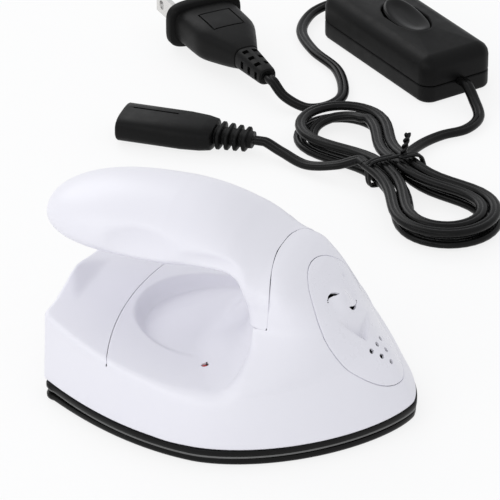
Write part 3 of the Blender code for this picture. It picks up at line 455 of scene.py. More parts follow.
def smooth_curve(points):
    """Monotone cubic through (x, y) points, as a function of an array."""
    xs, ys = (np.array(column, float) for column in zip(*points))
    widths = np.diff(xs)
    slopes = np.diff(ys) / widths
    tangents = np.zeros_like(xs)
    tangents[0], tangents[-1] = slopes[0], slopes[-1]
    for i in range(1, len(xs) - 1):
        if slopes[i - 1] * slopes[i] > 0:
            before = 2 * widths[i] + widths[i - 1]
            after = widths[i] + 2 * widths[i - 1]
            tangents[i] = (before + after) / (before / slopes[i - 1] + after / slopes[i])

    def curve(value):
        value = np.clip(value, xs[0], xs[-1])
        k = np.clip(np.searchsorted(xs, value, side="right") - 1, 0, len(widths) - 1)
        width = widths[k]
        t = (value - xs[k]) / width
        s = 1 - t
        return ((1 + 2 * t) * s * s * ys[k] + t * s * s * width * tangents[k]
                + t * t * (3 - 2 * t) * ys[k + 1] - t * t * s * width * tangents[k + 1])
    return curve


crest_x = smooth_curve(CREST)
seam_x = smooth_curve(SEAM)
hull_start = smooth_curve(HULL_START)
hull_half = smooth_curve(HULL_HALF)
hull_power_x = smooth_curve(HULL_POWER_X)
hull_power_y = smooth_curve(HULL_POWER_Y)
pedestal_x = smooth_curve(PEDESTAL)
pedestal_corner = smooth_curve(PEDESTAL_CORNER)
edge_round = smooth_curve(EDGE_ROUND)


def smooth_min(a, b, radius):
    h = np.clip(0.5 + 0.5 * (b - a) / radius, 0.0, 1.0)
    return b * (1 - h) + a * h - radius * h * (1 - h)


def smooth_max(a, b, radius):
    return -smooth_min(-a, -b, radius)


def smooth_step(value):
    value = np.clip(value, 0.0, 1.0)
    return value * value * (3 - 2 * value)


def hull_level(x, y, z):
    """Front half of the hull: a superelliptic section at height z, as a level and its slopes."""
    start = hull_start(z)
    reach = crest_x(z) - start
    half = hull_half(z)
    power_x, power_y = hull_power_x(z), hull_power_y(z)
    along = np.maximum(x - start, 0.0) / reach
    across = np.abs(y) / half
    slope_x = power_x * along ** (power_x - 1) / reach
    slope_y = power_y * across ** (power_y - 1) / half
    return along ** power_x + across ** power_y - 1, slope_x, slope_y


def hull_field(x, y, z):
    """Distance to the flanks: rounded heel, wide hips, superelliptic nose and the narrowing hood."""
    level, slope_x, slope_y = hull_level(x, y, z)
    slope_z = (hull_level(x, y, z + 0.4)[0] - hull_level(x, y, z - 0.4)[0]) / 0.8
    front = level / np.sqrt(slope_x ** 2 + slope_y ** 2 + slope_z ** 2 + 1e-5)
    lift = np.maximum(z - SKIRT_TOP, 0.0)
    draft = FLANK_DRAFT * np.minimum(lift, FLANK_HEIGHT)
    heel = HEEL_X + HEEL_LEAN * lift
    span = HIP_X - heel - HEEL_CORNER
    heel_half = HEEL_HALF - 0.3 * draft
    hip = HIP_HALF - draft
    back = np.clip((HIP_X - x) / span, 0.0, 1.3)
    width = hip - (hip - heel_half) * back ** SIDE_POWER
    lean = (hip - heel_half) * SIDE_POWER * back ** (SIDE_POWER - 1) / span
    rear = (np.abs(y) - width) / np.sqrt(1 + lean ** 2)
    share = smooth_step((x + 8.0) / 12.0)
    return smooth_max(rear * (1 - share) + front * share, heel - x, HEEL_ROUND)


def deck_z(x, y):
    rise = np.clip((DECK_RISE_X - x) / (DECK_RISE_X - HEEL_X), 0.0, 1.2)
    level = DECK_Z + HEEL_RISE * rise ** DECK_POWER
    dish = smooth_step((DISH_R - np.hypot(x - DISH_X, y)) / DISH_WALL)
    dish = dish * np.clip(0.66 + (0.5 * y - 0.75 * (x - DISH_X)) / DISH_R, 0.15, 1.15)
    return level * (1 - dish) + (DECK_Z - DISH_DEPTH) * dish


def rear_field(x, y, z):
    """Distance behind the pedestal, its ledge and the hood seam."""
    outward = np.clip((np.abs(y) - 8.0) / (hull_half(z) - 8.0), 0.0, 1.1)
    rear = pedestal_x(z) + (pedestal_corner(z) - pedestal_x(z)) * outward ** 2
    return np.minimum(np.maximum((rear - x) / 1.3, z - LEDGE_Z - 4.0), seam_x(z) - 4.0 - x)


def hump_field(x, y, z):
    """Low pyramid over the inlet, with its point at the top of the heel wall."""
    top_x, top_z = HUMP_TOP
    base_x, base_y, base_z = HUMP_BASE
    side_y, side_z = HUMP_SIDE
    drop = top_z - base_z
    run = base_x - top_x
    front = (z - top_z + (x - top_x) * drop / run) / math.hypot(1.0, drop / run)
    edge = np.cross((run, base_y, -drop), (0.0, side_y, side_z - top_z))
    edge = edge / np.linalg.norm(edge) * np.sign(edge[2])
    side = (x - top_x) * edge[0] + np.abs(y) * edge[1] + (z - top_z) * edge[2]
    room = np.maximum(np.abs(y) - 1.05 * base_y, 20.0 - z)
    return np.maximum(smooth_max(smooth_max(front, side, 0.7), HEEL_X + 0.3 - x, 0.8), room)


handle_half, handle_middle, handle_top, handle_bottom, handle_power = (
    smooth_curve([(station[0], station[k]) for station in HANDLE_BAR]) for k in (1, 2, 3, 4, 5))


def bar_level(x, y, z):
    """Superelliptic section of the grip at x."""
    u = np.clip((HANDLE_TAIL_X - x) / HANDLE_TAIL_RUN, 0.0, 0.9999)
    shrink = np.maximum(1 - u ** 3.6, 4e-4) ** 0.5
    half = handle_half(x) * shrink
    middle = handle_middle(x)
    above = (handle_top(x) - middle) * np.maximum(1 - u ** 2.2, 4e-4) ** 0.5
    below = (middle - handle_bottom(x)) * np.maximum(1 - u ** 4.0, 4e-4) ** 0.5
    rise = np.where(z > middle, (z - middle) / above, (middle - z) / below)
    across = np.abs(y) / half
    power = handle_power(x)
    level = across ** power + rise ** power - 1
    slope_y = power * across ** (power - 1) / half
    slope_z = power * rise ** (power - 1) / np.where(z > middle, above, below)
    return level, slope_y, slope_z


def bar_field(x, y, z):
    level, slope_y, slope_z = bar_level(x, y, z)
    slope_x = (bar_level(x + 0.3, y, z)[0] - bar_level(x - 0.3, y, z)[0]) / 0.6
    return level / np.sqrt(np.minimum(slope_x, 3.0) ** 2 + slope_y ** 2 + slope_z ** 2 + 1e-4)


def arch_field(x, y, z):
    """Top of the hood: the handle's own section carried on in front of the seam."""
    return bar_field(x, y, z) - 90.0 * smooth_step((39.0 - z) / 6.0)


def body_field(x, y, z):
    valley = VALLEY_ROUND * smooth_step((30.5 - z) / 6) + 0.05
    under_deck = smooth_min(z - deck_z(x, y), rear_field(x, y, z), valley)
    edge = edge_round(x) * (1 - smooth_step((z - 26.5) / 4.5)) + 0.12
    body = smooth_max(hull_field(x, y, z), under_deck, edge)
    body = smooth_max(body, arch_field(x, y, z), 0.6)
    return np.maximum(smooth_min(body, hump_field(x, y, z), 0.5), 3.6 - z)


def surface_net(field, low, high, pitch):
    """Quad mesh of the field's zero surface, one vertex for each grid cell that it crosses."""
    axes = [np.arange(a, b + pitch, pitch) for a, b in zip(low, high)]
    value = field(*np.meshgrid(*axes, indexing="ij", sparse=True))
    cells = tuple(n - 1 for n in value.shape)
    total = np.zeros(cells + (3,))
    count = np.zeros(cells)
    corners = []
    for axis in range(3):
        first = np.take(value, range(value.shape[axis] - 1), axis)
        second = np.take(value, range(1, value.shape[axis]), axis)
        crossed = (first < 0) != (second < 0)
        start = np.argwhere(crossed)
        share = first[crossed] / (first[crossed] - second[crossed])
        point = start.astype(float)
        point[:, axis] += share
        b, c = (axis + 1) % 3, (axis + 2) % 3
        around = []
        for step_b, step_c in ((0, 0), (-1, 0), (-1, -1), (0, -1)):
            cell = start.copy()
            cell[:, b] += step_b
            cell[:, c] += step_c
            around.append(cell)
            np.add.at(total, tuple(cell.T), point)
            np.add.at(count, tuple(cell.T), 1.0)
        quad = np.stack(around, 1)
        flip = first[crossed] > 0
        quad[flip] = quad[flip][:, ::-1]
        corners.append(quad)
    used = np.argwhere(count > 0)
    number = np.full(cells, -1)
    number[tuple(used.T)] = np.arange(len(used))
    verts = total[tuple(used.T)] / count[tuple(used.T)][:, None] * pitch + np.array([a[0] for a in axes])
    faces = number[tuple(np.moveaxis(np.concatenate(corners), 2, 0))]
    return verts, faces


def subdivide(verts, faces):
    """Splits each quad into four."""
    edges = np.sort(np.stack([faces, np.roll(faces, -1, 1)], 2).reshape(-1, 2), 1)
    unique, inverse = np.unique(edges, axis=0, return_inverse=True)
    middle = len(verts) + inverse.reshape(len(faces), 4)
    centre = len(verts) + len(unique) + np.arange(len(faces))
    verts = np.concatenate([verts, verts[unique].mean(1), verts[faces].mean(1)])
    quads = [np.stack([faces[:, i], middle[:, i], centre, middle[:, i - 1]], 1) for i in range(4)]
    return verts, np.concatenate(quads)


def gradient(field, points, step=0.15):
    parts = []
    for axis in range(3):
        shift = np.zeros(3)
        shift[axis] = step
        parts.append((field(*(points + shift).T) - field(*(points - shift).T)) / (2 * step))
    return np.stack(parts, 1)


def settle(field, verts, rounds):
    """Moves vertices onto the field's zero surface."""
    for _ in range(rounds):
        slope = gradient(field, verts)
        move = field(*verts.T) / np.maximum((slope ** 2).sum(1), 0.05)
        verts = verts - np.clip(move[:, None] * slope, -0.6, 0.6)
    return verts


def smooth_surface(field, low, high, pitch):
    """Fine quad mesh that lies on the field's zero surface."""
    verts, faces = surface_net(field, low, high, pitch)
    verts, faces = subdivide(settle(field, verts, 4), faces)
    return settle(field, verts, 3), faces


def trim(shape, level, lip=None):
    """Cuts a bmesh along level = 0, keeps level > 0 and turns the new rim inwards as a lip.

    level takes an N x 3 array in millimetres. lip is (roundness, depth), also in millimetres.
    """
    shape.verts.ensure_lookup_table()
    places = np.array([v.co for v in shape.verts])
    values = level(places)
    values[np.abs(values) < 0.02] = 0.0
    shape.verts.index_update()
    onto = []
    value_of = dict(enumerate(values))
    for edge in list(shape.edges):
        a, b = edge.verts
        va, vb = value_of[a.index], value_of[b.index]
        if va * vb < 0:
            _, fresh = bmesh.utils.edge_split(edge, a, va / (va - vb))
            onto.append(fresh)
    known = [v for v in shape.verts if 0 <= v.index < len(values)]
    onto += [v for v in known if values[v.index] == 0.0 and v not in onto]
    bmesh.ops.connect_verts(shape, verts=onto)
    centres = np.array([f.calc_center_median() for f in shape.faces])
    gone = [f for f, v in zip(list(shape.faces), level(centres)) if v < 0]
    bmesh.ops.delete(shape, geom=gone, context="FACES")
    if lip:
        edges = [e for e in shape.edges if e.is_boundary]
        rim = [e for e in edges if np.all(np.abs(level(np.array([v.co for v in e.verts]))) < 0.05)]
        turn_rim(shape, rim, *lip)


def turn_rim(shape, rim, roundness, depth):
    """Gives boundary edges a small round and a wall down into the part."""
    normals = {v: v.normal.copy() for e in rim for v in e.verts}
    out = {v: Vector() for v in normals}
    for edge in rim:
        face = edge.link_faces[0]
        along = edge.verts[1].co - edge.verts[0].co
        away = along.cross(face.normal).normalized()
        if away.dot(edge.verts[0].co - face.calc_center_median()) < 0:
            away.negate()
        for v in edge.verts:
            out[v] += away
    start = {v: v.co.copy() for v in normals}
    origin = {v: v for v in normals}
    steps = [(0.5, 0.15), (0.87, 0.5), (1.0, 1.0), (1.0, depth / roundness)]
    for spread, drop in steps:
        made = bmesh.ops.extrude_edge_only(shape, edges=rim)
        fresh = [g for g in made["geom"] if isinstance(g, bmesh.types.BMVert)]
        rim = [g for g in made["geom"] if isinstance(g, bmesh.types.BMEdge)]
        parent = {}
        for v in fresh:
            for edge in v.link_edges:
                other = edge.other_vert(v)
                if other in origin and other not in fresh:
                    parent[v] = origin[other]
        for v, first in parent.items():
            side = out[first].normalized() if out[first].length > 1e-6 else Vector()
            v.co = start[first] + (side * spread - normals[first] * drop) * roundness
        origin = parent


def shape_piece(node, shape, mat):
    """Turns a bmesh in millimetres into the skin of one of the iron's nodes."""
    bmesh.ops.recalc_face_normals(shape, faces=shape.faces)
    bmesh.ops.scale(shape, vec=(MM, MM, MM), verts=shape.verts)
    mesh = bpy.data.meshes.new(node + "_skin")
    shape.to_mesh(mesh)
    shape.free()
    make_piece(node + "_skin", mesh, mat, "iron", [node])


def to_bmesh(verts, faces):
    mesh = bpy.data.meshes.new("work")
    mesh.from_pydata(verts.tolist(), [], faces.tolist())
    shape = bmesh.new()
    shape.from_mesh(mesh)
    bpy.data.meshes.remove(mesh)
    bmesh.ops.recalc_face_normals(shape, faces=shape.faces)
    return shape


# Panel frame


def panel_point(along, across, height):
    return np.stack([PANEL_CENTRE_X + along * PANEL_AXIS[2] + height * PANEL_AXIS[0], across + 0.0 * height,
                     PANEL_CENTRE_Z - along * PANEL_AXIS[0] + height * PANEL_AXIS[2]], -1)


def panel_local(points):
    x, z = points[:, 0] - PANEL_CENTRE_X, points[:, 2] - PANEL_CENTRE_Z
    return (x * PANEL_AXIS[2] - z * PANEL_AXIS[0], points[:, 1], x * PANEL_AXIS[0] + z * PANEL_AXIS[2])


def oval(along, across):
    """About the distance outside the panel's oval outline."""
    u = (along - PANEL_MIDDLE) / PANEL_HALF_LONG
    v = across / (PANEL_HALF_WIDE * (1.0 - 0.09 * (along - PANEL_MIDDLE) / PANEL_HALF_LONG))
    length = np.hypot(u, v) + 1e-6
    slope = np.hypot(u / PANEL_HALF_LONG, v / PANEL_HALF_WIDE) / length
    return (length - 1.0) / slope


def panel_side(points):
    along, across, _ = panel_local(points)
    return oval(along, across)


def line_distance(points, u, v):
    """Distance from (u, v) to a polyline, and the share of its length there."""
    best = np.full(u.shape, 1e9)
    share = np.zeros(u.shape)
    for i, ((ax, ay), (bx, by)) in enumerate(zip(points, points[1:])):
        dx, dy = bx - ax, by - ay
        along = np.clip(((u - ax) * dx + (v - ay) * dy) / (dx ** 2 + dy ** 2), 0, 1)
        distance = np.hypot(u - ax - along * dx, v - ay - along * dy)
        closer = distance < best
        best = np.where(closer, distance, best)
        share = np.where(closer, (i + along) / (len(points) - 1), share)
    return best, share


def make_body(mats):
    """Main shell and heel cover, cut from one smooth surface."""
    verts, faces = smooth_surface(body_field, *BODY_NET)

    def cover_level(p, gap, hair):
        side = COVER_X + p[:, 1] ** 2 / COVER_BOW - p[:, 0]
        above_rim = p[:, 2] - (deck_z(p[:, 0], 60.0) - COVER_THICK)
        return np.minimum(side - gap, above_rim - hair)

    def lamp_level(p):
        away = np.hypot(p[:, 0] - LAMP_HOLE[0], p[:, 1] - LAMP_HOLE[1]) - LAMP_HOLE[2]
        return np.where(p[:, 2] < 12.0, 20.0, away)

    def socket_level(p):
        away = np.maximum(np.abs(p[:, 1]) - SOCKET_HALF_Y, np.abs(p[:, 2] - INLET_Z) - SOCKET_HALF_Z)
        return np.maximum(away - SOCKET_ROOM, p[:, 0] + 40.0)

    cover = to_bmesh(verts, faces)
    trim(cover, lambda p: cover_level(p, COVER_GAP, COVER_HAIR), COVER_LIP)
    shape_piece("heel_cover", cover, mats["shell"])

    shell = to_bmesh(verts, faces)
    trim(shell, lambda p: -cover_level(p, -COVER_GAP, -COVER_HAIR), COVER_LIP)
    trim(shell, lambda p: p[:, 2] - SHELL_BOTTOM - RIM_LIP[0], RIM_LIP)
    trim(shell, lambda p: np.maximum(p[:, 0] - seam_x(p[:, 2]) - 0.1, LEDGE_Z - 0.05 - p[:, 2]), SEAM_LIP)
    trim(shell, lambda p: panel_side(p) - 0.36 + 50.0 * (p[:, 0] < 18.0), PANEL_HOLE_LIP)
    trim(shell, lamp_level, LAMP_LIP)
    trim(shell, socket_level, SOCKET_LIP)
    shape_piece("main_shell", shell, mats["shell"])


def panel_height(along, across):
    """Height of the hood over the panel's plane, found by halving."""
    low = np.full(along.shape, -16.0)
    high = np.full(along.shape, 14.0)
    for _ in range(26):
        middle = (low + high) / 2
        point = panel_point(along, across, middle)
        outside = body_field(point[..., 0], point[..., 1], point[..., 2]) > 0
        high = np.where(outside, middle, high)
        low = np.where(outside, low, middle)
    return (low + high) / 2


def make_panel(mats):
    """Front panel with its dome, swirl slits, sunk relief and vents."""
    along, across = np.meshgrid(np.arange(PANEL_MIDDLE - 21.0, PANEL_MIDDLE + 21.0, PANEL_PITCH),
                                np.arange(-16.0, 16.01, PANEL_PITCH), indexing="ij")
    height = panel_height(along, across)
    dome = np.hypot(along - DOME_ALONG, across - DOME_ACROSS) / DOME_R
    height = height + DOME_RISE * smooth_step(1.1 - dome)
    dimple = np.hypot(along - DIMPLE[0], across - DIMPLE[1]) / DIMPLE_R
    height = height - DIMPLE_DEPTH * smooth_step(1.0 - dimple)
    sides = []
    for (ax, ay), (bx, by) in zip(RELIEF, RELIEF[1:] + RELIEF[:1]):
        run = math.hypot(bx - ax, by - ay)
        sides.append(((across - ay) * (bx - ax) - (along - ax) * (by - ay)) / run)
    wall = smooth_step(sides[0] / 1.4) * smooth_step(sides[1] / 1.1)
    height = height - RELIEF_DEPTH * np.clip(sides[2] / RELIEF_RUN, 0.0, 1.0) * wall
    points = panel_point(along, across, height)
    index = np.arange(along.size).reshape(along.shape)
    faces = np.stack([index[:-1, :-1], index[1:, :-1], index[1:, 1:], index[:-1, 1:]], -1).reshape(-1, 4)
    shape = to_bmesh(points.reshape(-1, 3), faces)
    if sum(f.normal.x for f in shape.faces) < 0:
        bmesh.ops.reverse_faces(shape, faces=shape.faces)
    trim(shape, lambda p: -panel_side(p) - PANEL_LIP[0], PANEL_LIP)

    def openings(points):
        u, v, _ = panel_local(points)
        nearest = np.full(u.shape, 1e9)
        for vent_u, vent_v in VENTS:
            nearest = np.minimum(nearest, np.hypot(u - vent_u, v - vent_v) - VENT_R - 0.08)
        for sign in (-1, 1):
            distance, share = line_distance(SLIT_LINE, sign * (u - DOME_ALONG), sign * (v - DOME_ACROSS))
            swell = np.sin(math.pi * np.clip(share, 0.0, 1.0) ** 1.7)
            nearest = np.minimum(nearest, distance - 0.05 - 0.58 * np.maximum(swell, 0.0))
        return nearest

    trim(shape, openings, SLIT_LIP)
    shape_piece("front_panel", shape, mats["panel"])


# Plates under the shell


def plan_outline(nose, hip, heel, heel_half, power_y):
    """Closed plan outline, symmetric in y, with a rounded heel corner."""
    half = [(heel, heel_half * i / 3) for i in (1, 2)] + [(heel, heel_half - HEEL_CORNER)]
    for i in range(1, 6):
        turn = math.radians(18.0 * i)
        half.append((heel + HEEL_CORNER * (1 - math.cos(turn)),
                     heel_half - HEEL_CORNER * (1 - math.sin(turn))))
    start = heel + HEEL_CORNER
    for i in range(1, 16):
        x = start + (HIP_X - start) * i / 16
        half.append((x, hip - (hip - heel_half) * ((HIP_X - x) / (HIP_X - start)) ** SIDE_POWER))
    for i in range(40):
        turn = math.radians(90.0 * i / 40)
        half.append((HIP_X + (nose - HIP_X) * math.sin(turn) ** (2 / NOSE_POWER_X),
                     hip * math.cos(turn) ** (2 / power_y)))
    return [(x, -y) for x, y in half] + [(nose, 0.0)] + half[::-1]


def plate_rings(levels, nose, hip, heel, heel_half, power_y):
    """Rings of a plate's outline, from (height, inset) levels."""
    rings = []
    for z, inset in levels:
        plan = plan_outline(nose - inset, hip - inset, heel + inset, heel_half - inset, power_y)
        rings.append([(x, y, z) for x, y in plan])
    return rings


def make_plates(mats):
    """Soleplate, edge trim and skirt, with rounded rims."""
    levels = [(0.0, 1.5), (0.05, 0.9), (0.25, 0.4), (0.6, 0.12), (1.0, 0.0), (1.75, 0.0), (2.05, 0.12),
              (SOLE_TOP, 0.45)]
    sole = plate_rings(levels, SOLE_NOSE_X, SOLE_HIP_HALF, SOLE_HEEL_X, SOLE_HEEL_HALF, SOLE_POWER_Y)
    loft_piece("soleplate_fine", sole, mats["sole"], "iron", ["soleplate"])
    plates = [("edge_trim", SOLE_TOP + 0.2, SHIELD_TOP, 0.0, 0.12, "edge", "edge_steel"),
              ("insulating_skirt", SHIELD_TOP + 0.2, SKIRT_TOP, SKIRT_REACH, 0.3, "skirt", "skirt_black")]
    for name, low, high, reach, soft, mat, slot in plates:
        levels = [(low, RING_WIDTH), (low, soft), (low + 0.3 * soft, 0.3 * soft), (low + soft, 0.0),
                  (high - soft, 0.0), (high - 0.3 * soft, 0.3 * soft), (high, soft), (high, RING_WIDTH),
                  (low, RING_WIDTH)]
        rings = plate_rings(levels, NOSE_X + reach, HIP_HALF + reach, SOLE_HEEL_X - reach,
                            TRIM_HEEL_HALF + reach, TRIM_POWER_Y)
        loft_piece(name + "_fine", rings, mats[mat], "iron", [name], closed=False)


def make_lamp(mats):
    """Red indicator lens that fills its hole in the deck."""
    x, y, radius = LAMP_HOLE
    top = 21.0
    while body_field(np.array([x]), np.array([y]), np.array([top]))[0] > 0:
        top -= 0.02
    levels = [(10.4, 1.9), (11.2, 1.9), (11.3, 1.4), (top - 2.0, 1.4), (top - 1.2, radius - 0.2),
              (top - 0.7, radius - 0.28), (top - 0.45, radius - 0.5), (top - 0.35, 0.35), (top - 0.33, 0.1)]
    rings = [[(x + a, y + b, z) for a, b in circle(24, r)] for z, r in levels]
    loft_piece("led_lamp_lens", rings, mats["lamp"], "iron", ["led_lamp"])


# Handle


def strut_field(x, y, z):
    """Upright between the ledge and the grip, flush with the hood's flanks."""
    lean = (hull_half(z + 0.2) - hull_half(z - 0.2)) / 0.4
    flank = (np.abs(y) - hull_half(z)) / np.sqrt(1 + lean ** 2)
    corner_x, corner_y = STRUT_CORNER
    rear = STRUT_REAR + (corner_x - STRUT_REAR) * (np.abs(y) / corner_y) ** 3 - x
    return np.maximum(smooth_max(smooth_max(flank, rear, 2.4), z - 43.0, 3.0), LEDGE_Z - 2.0 - z)


def handle_field(x, y, z):
    shape = smooth_min(bar_field(x, y, z), strut_field(x, y, z), np.clip(14.6 - x, 0.3, 4.5))
    for (cx, cy, cz), (rx, ry, rz) in SCOOPS:
        away = np.sqrt(((x - cx) / rx) ** 2 + ((np.abs(y) - cy) / ry) ** 2 + ((z - cz) / rz) ** 2)
        shape = smooth_max(shape, (1 - away) * ry * 0.9, 0.9)
    return np.maximum(smooth_max(shape, HANDLE_END_X - x, 1.6), x - 18.6)


def make_handle(mats):
    """Grip with its strut, parted from the underside piece along a level line."""
    verts, faces = smooth_surface(handle_field, *HANDLE_NET)

    def hood_side(p):
        return np.minimum(seam_x(p[:, 2]) - 0.2 - p[:, 0], p[:, 2] - LEDGE_Z - 0.2)

    def under_side(p):
        return np.minimum(PARTING_Z - p[:, 2], PARTING_X - p[:, 0])

    top = to_bmesh(verts, faces)
    trim(top, hood_side, HANDLE_LIP)
    trim(top, lambda p: -under_side(p) - PARTING_GAP, PARTING_LIP)
    shape_piece("handle_top", top, mats["shell"])
    under = to_bmesh(verts, faces)
    trim(under, lambda p: under_side(p) - PARTING_GAP, PARTING_LIP)
    shape_piece("handle_underside", under, mats["shell"])


# Cords


def smooth_path(points, steps):
    """Catmull-Rom curve through the points; the end stretches stay straight."""
    fine = [points[0]]
    for a, b, c, d in zip(points, points[1:], points[2:], points[3:]):
        for i in range(steps):
            t = i / steps
            fine.append(0.5 * (2 * b + (c - a) * t + (2 * a - 5 * b + 4 * c - d) * t * t
                               + (3 * b - a - 3 * c + d) * t ** 3))
    return fine + [points[-2], points[-1]]


def twin_section():
    """Outline of the flat twin cord: two lobes with a groove between them."""
    centre = CORD_WIDTH / 2 - CORD_LOBE
    groove = math.asin(min(1.0, centre / CORD_LOBE)) + 0.12
    turns = [(math.pi + 2 * groove) * i / 10 - math.pi / 2 - groove for i in range(11)]
    lobe = [(centre + CORD_LOBE * math.cos(turn), CORD_LOBE * math.sin(turn)) for turn in turns]
    return lobe + [(-across, -rise) for across, rise in lobe]


def sweep(path, section, up):
    """Rings of a section along a path; up says which way it stands."""
    rings = []
    last = len(path) - 1
    for i, point in enumerate(path):
        ahead = (path[min(i + 1, last)] - path[max(i - 1, 0)]).normalized()
        side = ahead.cross(Vector(up)).normalized()
        high = side.cross(ahead)
        rings.append([point + side * across + high * rise for across, rise in section])
    return rings


def hank_path(steps):
    """The same tied hank as the solid model's, with more steps to a turn."""
    pitch = CORD_PITCH + HANK_GAP
    points = []
    for step in range(steps // 8, round(3.625 * steps) + 1):
        t = step / steps
        lap = t % 1.0
        upper = t >= 2.0
        end_radius = HANK_END_R - 1.7 * pitch + pitch * (t - 2.0) if upper else HANK_END_R - pitch * t
        waist = HANK_WAIST_PITCH * (0.125 + t - 2.0 if upper else 1.875 - t)
        sign = 1.0 if lap < 0.5 else -1.0
        part = (lap % 0.5) / 0.25
        if part <= 1.0:
            along = sign * HANK_RUN * (2.0 * part - 1.0)
            draw = (0.5 - 0.5 * math.cos(math.pi * min(1.0, abs(along) / HANK_RUN))) ** 1.5
            across = sign * (waist + (end_radius - waist) * draw)
        else:
            turn = math.pi * (part - 1.0)
            along = sign * (HANK_RUN + end_radius * math.sin(turn))
            across = sign * end_radius * math.cos(turn)
        climb = min(1.0, max(0.0, (t - 1.75) / 0.25))
        lift = HANK_WAIST_LIFT * math.exp(-(along / 11.0) ** 2)
        z = CORD_PITCH / 2 + 0.1 + lift + pitch * climb
        points.append(HANK_AT.point(along, across, z))
    return points


def lead_end(place, along, up=0.0):
    """A lead's end at a fitting, and its next point straight out from there."""
    return [place.point(along + reach, 0.0, up) for reach in (0.0, math.copysign(CORD_PITCH, along))]


def make_cords(mats, plug, switch, connector, tie):
    back = -HANK_AT.ahead
    coil = hank_path(72)
    hank = [coil[0] + back * CORD_PITCH] + coil + [coil[-1] + back * CORD_PITCH]
    to_hank, from_hank = ([end + back * reach for reach in (GAP, GAP + CORD_PITCH)]
                          for end in (hank[0], hank[-1]))
    switch_rear = lead_end(SWITCH_AT, -SWITCH_HALF_LONG - GAP, SWITCH_EXIT_Z)
    switch_front = lead_end(SWITCH_AT, SWITCH_HALF_LONG + GAP, SWITCH_EXIT_Z)
    plug_end = lead_end(PLUG_AT, PLUG_LENGTH + GAP)
    connector_end = lead_end(CONNECTOR_AT, CONNECTOR_LENGTH + GAP)
    leads = [("cord_plug_to_switch", plug_end, PLUG_TO_SWITCH, switch_rear, "plug", plug),
             ("cord_switch_to_hank", switch_front, SWITCH_TO_HANK, to_hank, "tool", switch),
             ("cord_hank_to_connector", from_hank, HANK_TO_CONNECTOR, connector_end, "connector", connector)]
    cords = []
    for name, start, middle, end, far_end, pieces in leads:
        points = start + [floor_point(*p) for p in middle] + end[::-1]
        cords.append((name, smooth_path(points, 10), far_end, pieces))
    cords.append(("cord_hank", hank, "knot", tie))
    for name, path, far_end, pieces in cords:
        piece = loft_piece(name + "_jacket", sweep(path, twin_section(), (0, 0, 1)), mats["cord"], "cord_set",
                           [name], 50)


# Fittings on the cord


def superellipse(half_wide, half_high, power, count):
    """Outline of count points, for the sections of lofts."""
    return [(half_wide * math.copysign(abs(c) ** (2 / power), c),
             half_high * math.copysign(abs(s) ** (2 / power), s)) for c, s in circle(count, phase=0.5)]


def rounded_box(half_long, half_wide, radius):
    """Rectangle with round corners, as evenly listed points."""
    corners = []
    for k, (side_x, side_y) in enumerate(((1, 1), (-1, 1), (-1, -1), (1, -1))):
        turns = [math.radians(90.0 * k + 11.25 * i) for i in range(9)]
        corners.append([(side_x * (half_long - radius) + radius * math.cos(turn),
                         side_y * (half_wide - radius) + radius * math.sin(turn)) for turn in turns])
    points = []
    for corner, after in zip(corners, corners[1:] + corners[:1]):
        (ax, ay), (bx, by) = corner[-1], after[0]
        points += corner + [(ax + (bx - ax) * i / 5, ay + (by - ay) * i / 5) for i in range(1, 5)]
    return points


def block(place, low, high):
    """Plain box in a place's frame, in millimetres, for carving."""
    corners = [(a, b, c) for c in (low[2], high[2])
               for a, b in ((low[0], low[1]), (high[0], low[1]), (high[0], high[1]), (low[0], high[1]))]
    return [place.point(*corner) for corner in corners], ring_faces(2, 4)


def carve(obj, solids):
    """Cuts closed solids, given as (points in millimetres, faces), out of a piece."""
    verts, faces = [], []
    for points, corners in solids:
        faces += [tuple(len(verts) + i for i in face) for face in corners]
        verts += [point * MM for point in points]
    mesh = bpy.data.meshes.new("cutter")
    mesh.from_pydata(verts, [], faces)
    fix_normals(mesh)
    cutter = link_object("cutter", mesh)
    change = obj.modifiers.new("carve", "BOOLEAN")
    change.operation = "DIFFERENCE"
    change.solver = "EXACT"
    change.use_self = True
    change.object = cutter
    result = bpy.data.meshes.new_from_object(obj.evaluated_get(bpy.context.evaluated_depsgraph_get()))
    obj.modifiers.clear()
    mat = obj.data.materials[0]
    obj.data = result
    result.materials.clear()
    result.materials.append(mat)
    for polygon in result.polygons:
        polygon.material_index = 0
    result.shade_smooth()
    result.set_sharp_from_angle(angle=math.radians(35))
    bpy.data.objects.remove(cutter)


def fitting(mats, node, rings, cuts=()):
    """Moulded black piece of the cord set."""
    piece = loft_piece(node + "_fine", rings, mats["fitting"], "cord_set", [node])
    if cuts:
        carve(piece, cuts)
    return piece.name


def section_rings(place, stations):
    """Rings along a heading; stations list (along, half-width, half-height, power)."""
    return [[place.point(along, across, up) for across, up in superellipse(wide, high, power, 48)]
            for along, wide, high, power in stations]


def soft_stations(points, count):
    """Evenly spaced stations read from smooth curves through a few given ones."""
    curves = [smooth_curve([(point[0], point[k]) for point in points]) for k in (1, 2, 3)]
    spots = np.linspace(points[0][0], points[-1][0], count)
    return [(float(t),) + tuple(float(curve(t)) for curve in curves) for t in spots]


def round_solid(place, along, across, up, radius, depth):
    """Cylinder along the heading, for sockets."""
    sides = circle(20, radius)
    rings = [place.point(reach, across + a, up + b) for reach in (along, along + depth) for a, b in sides]
    return rings, ring_faces(2, len(sides))


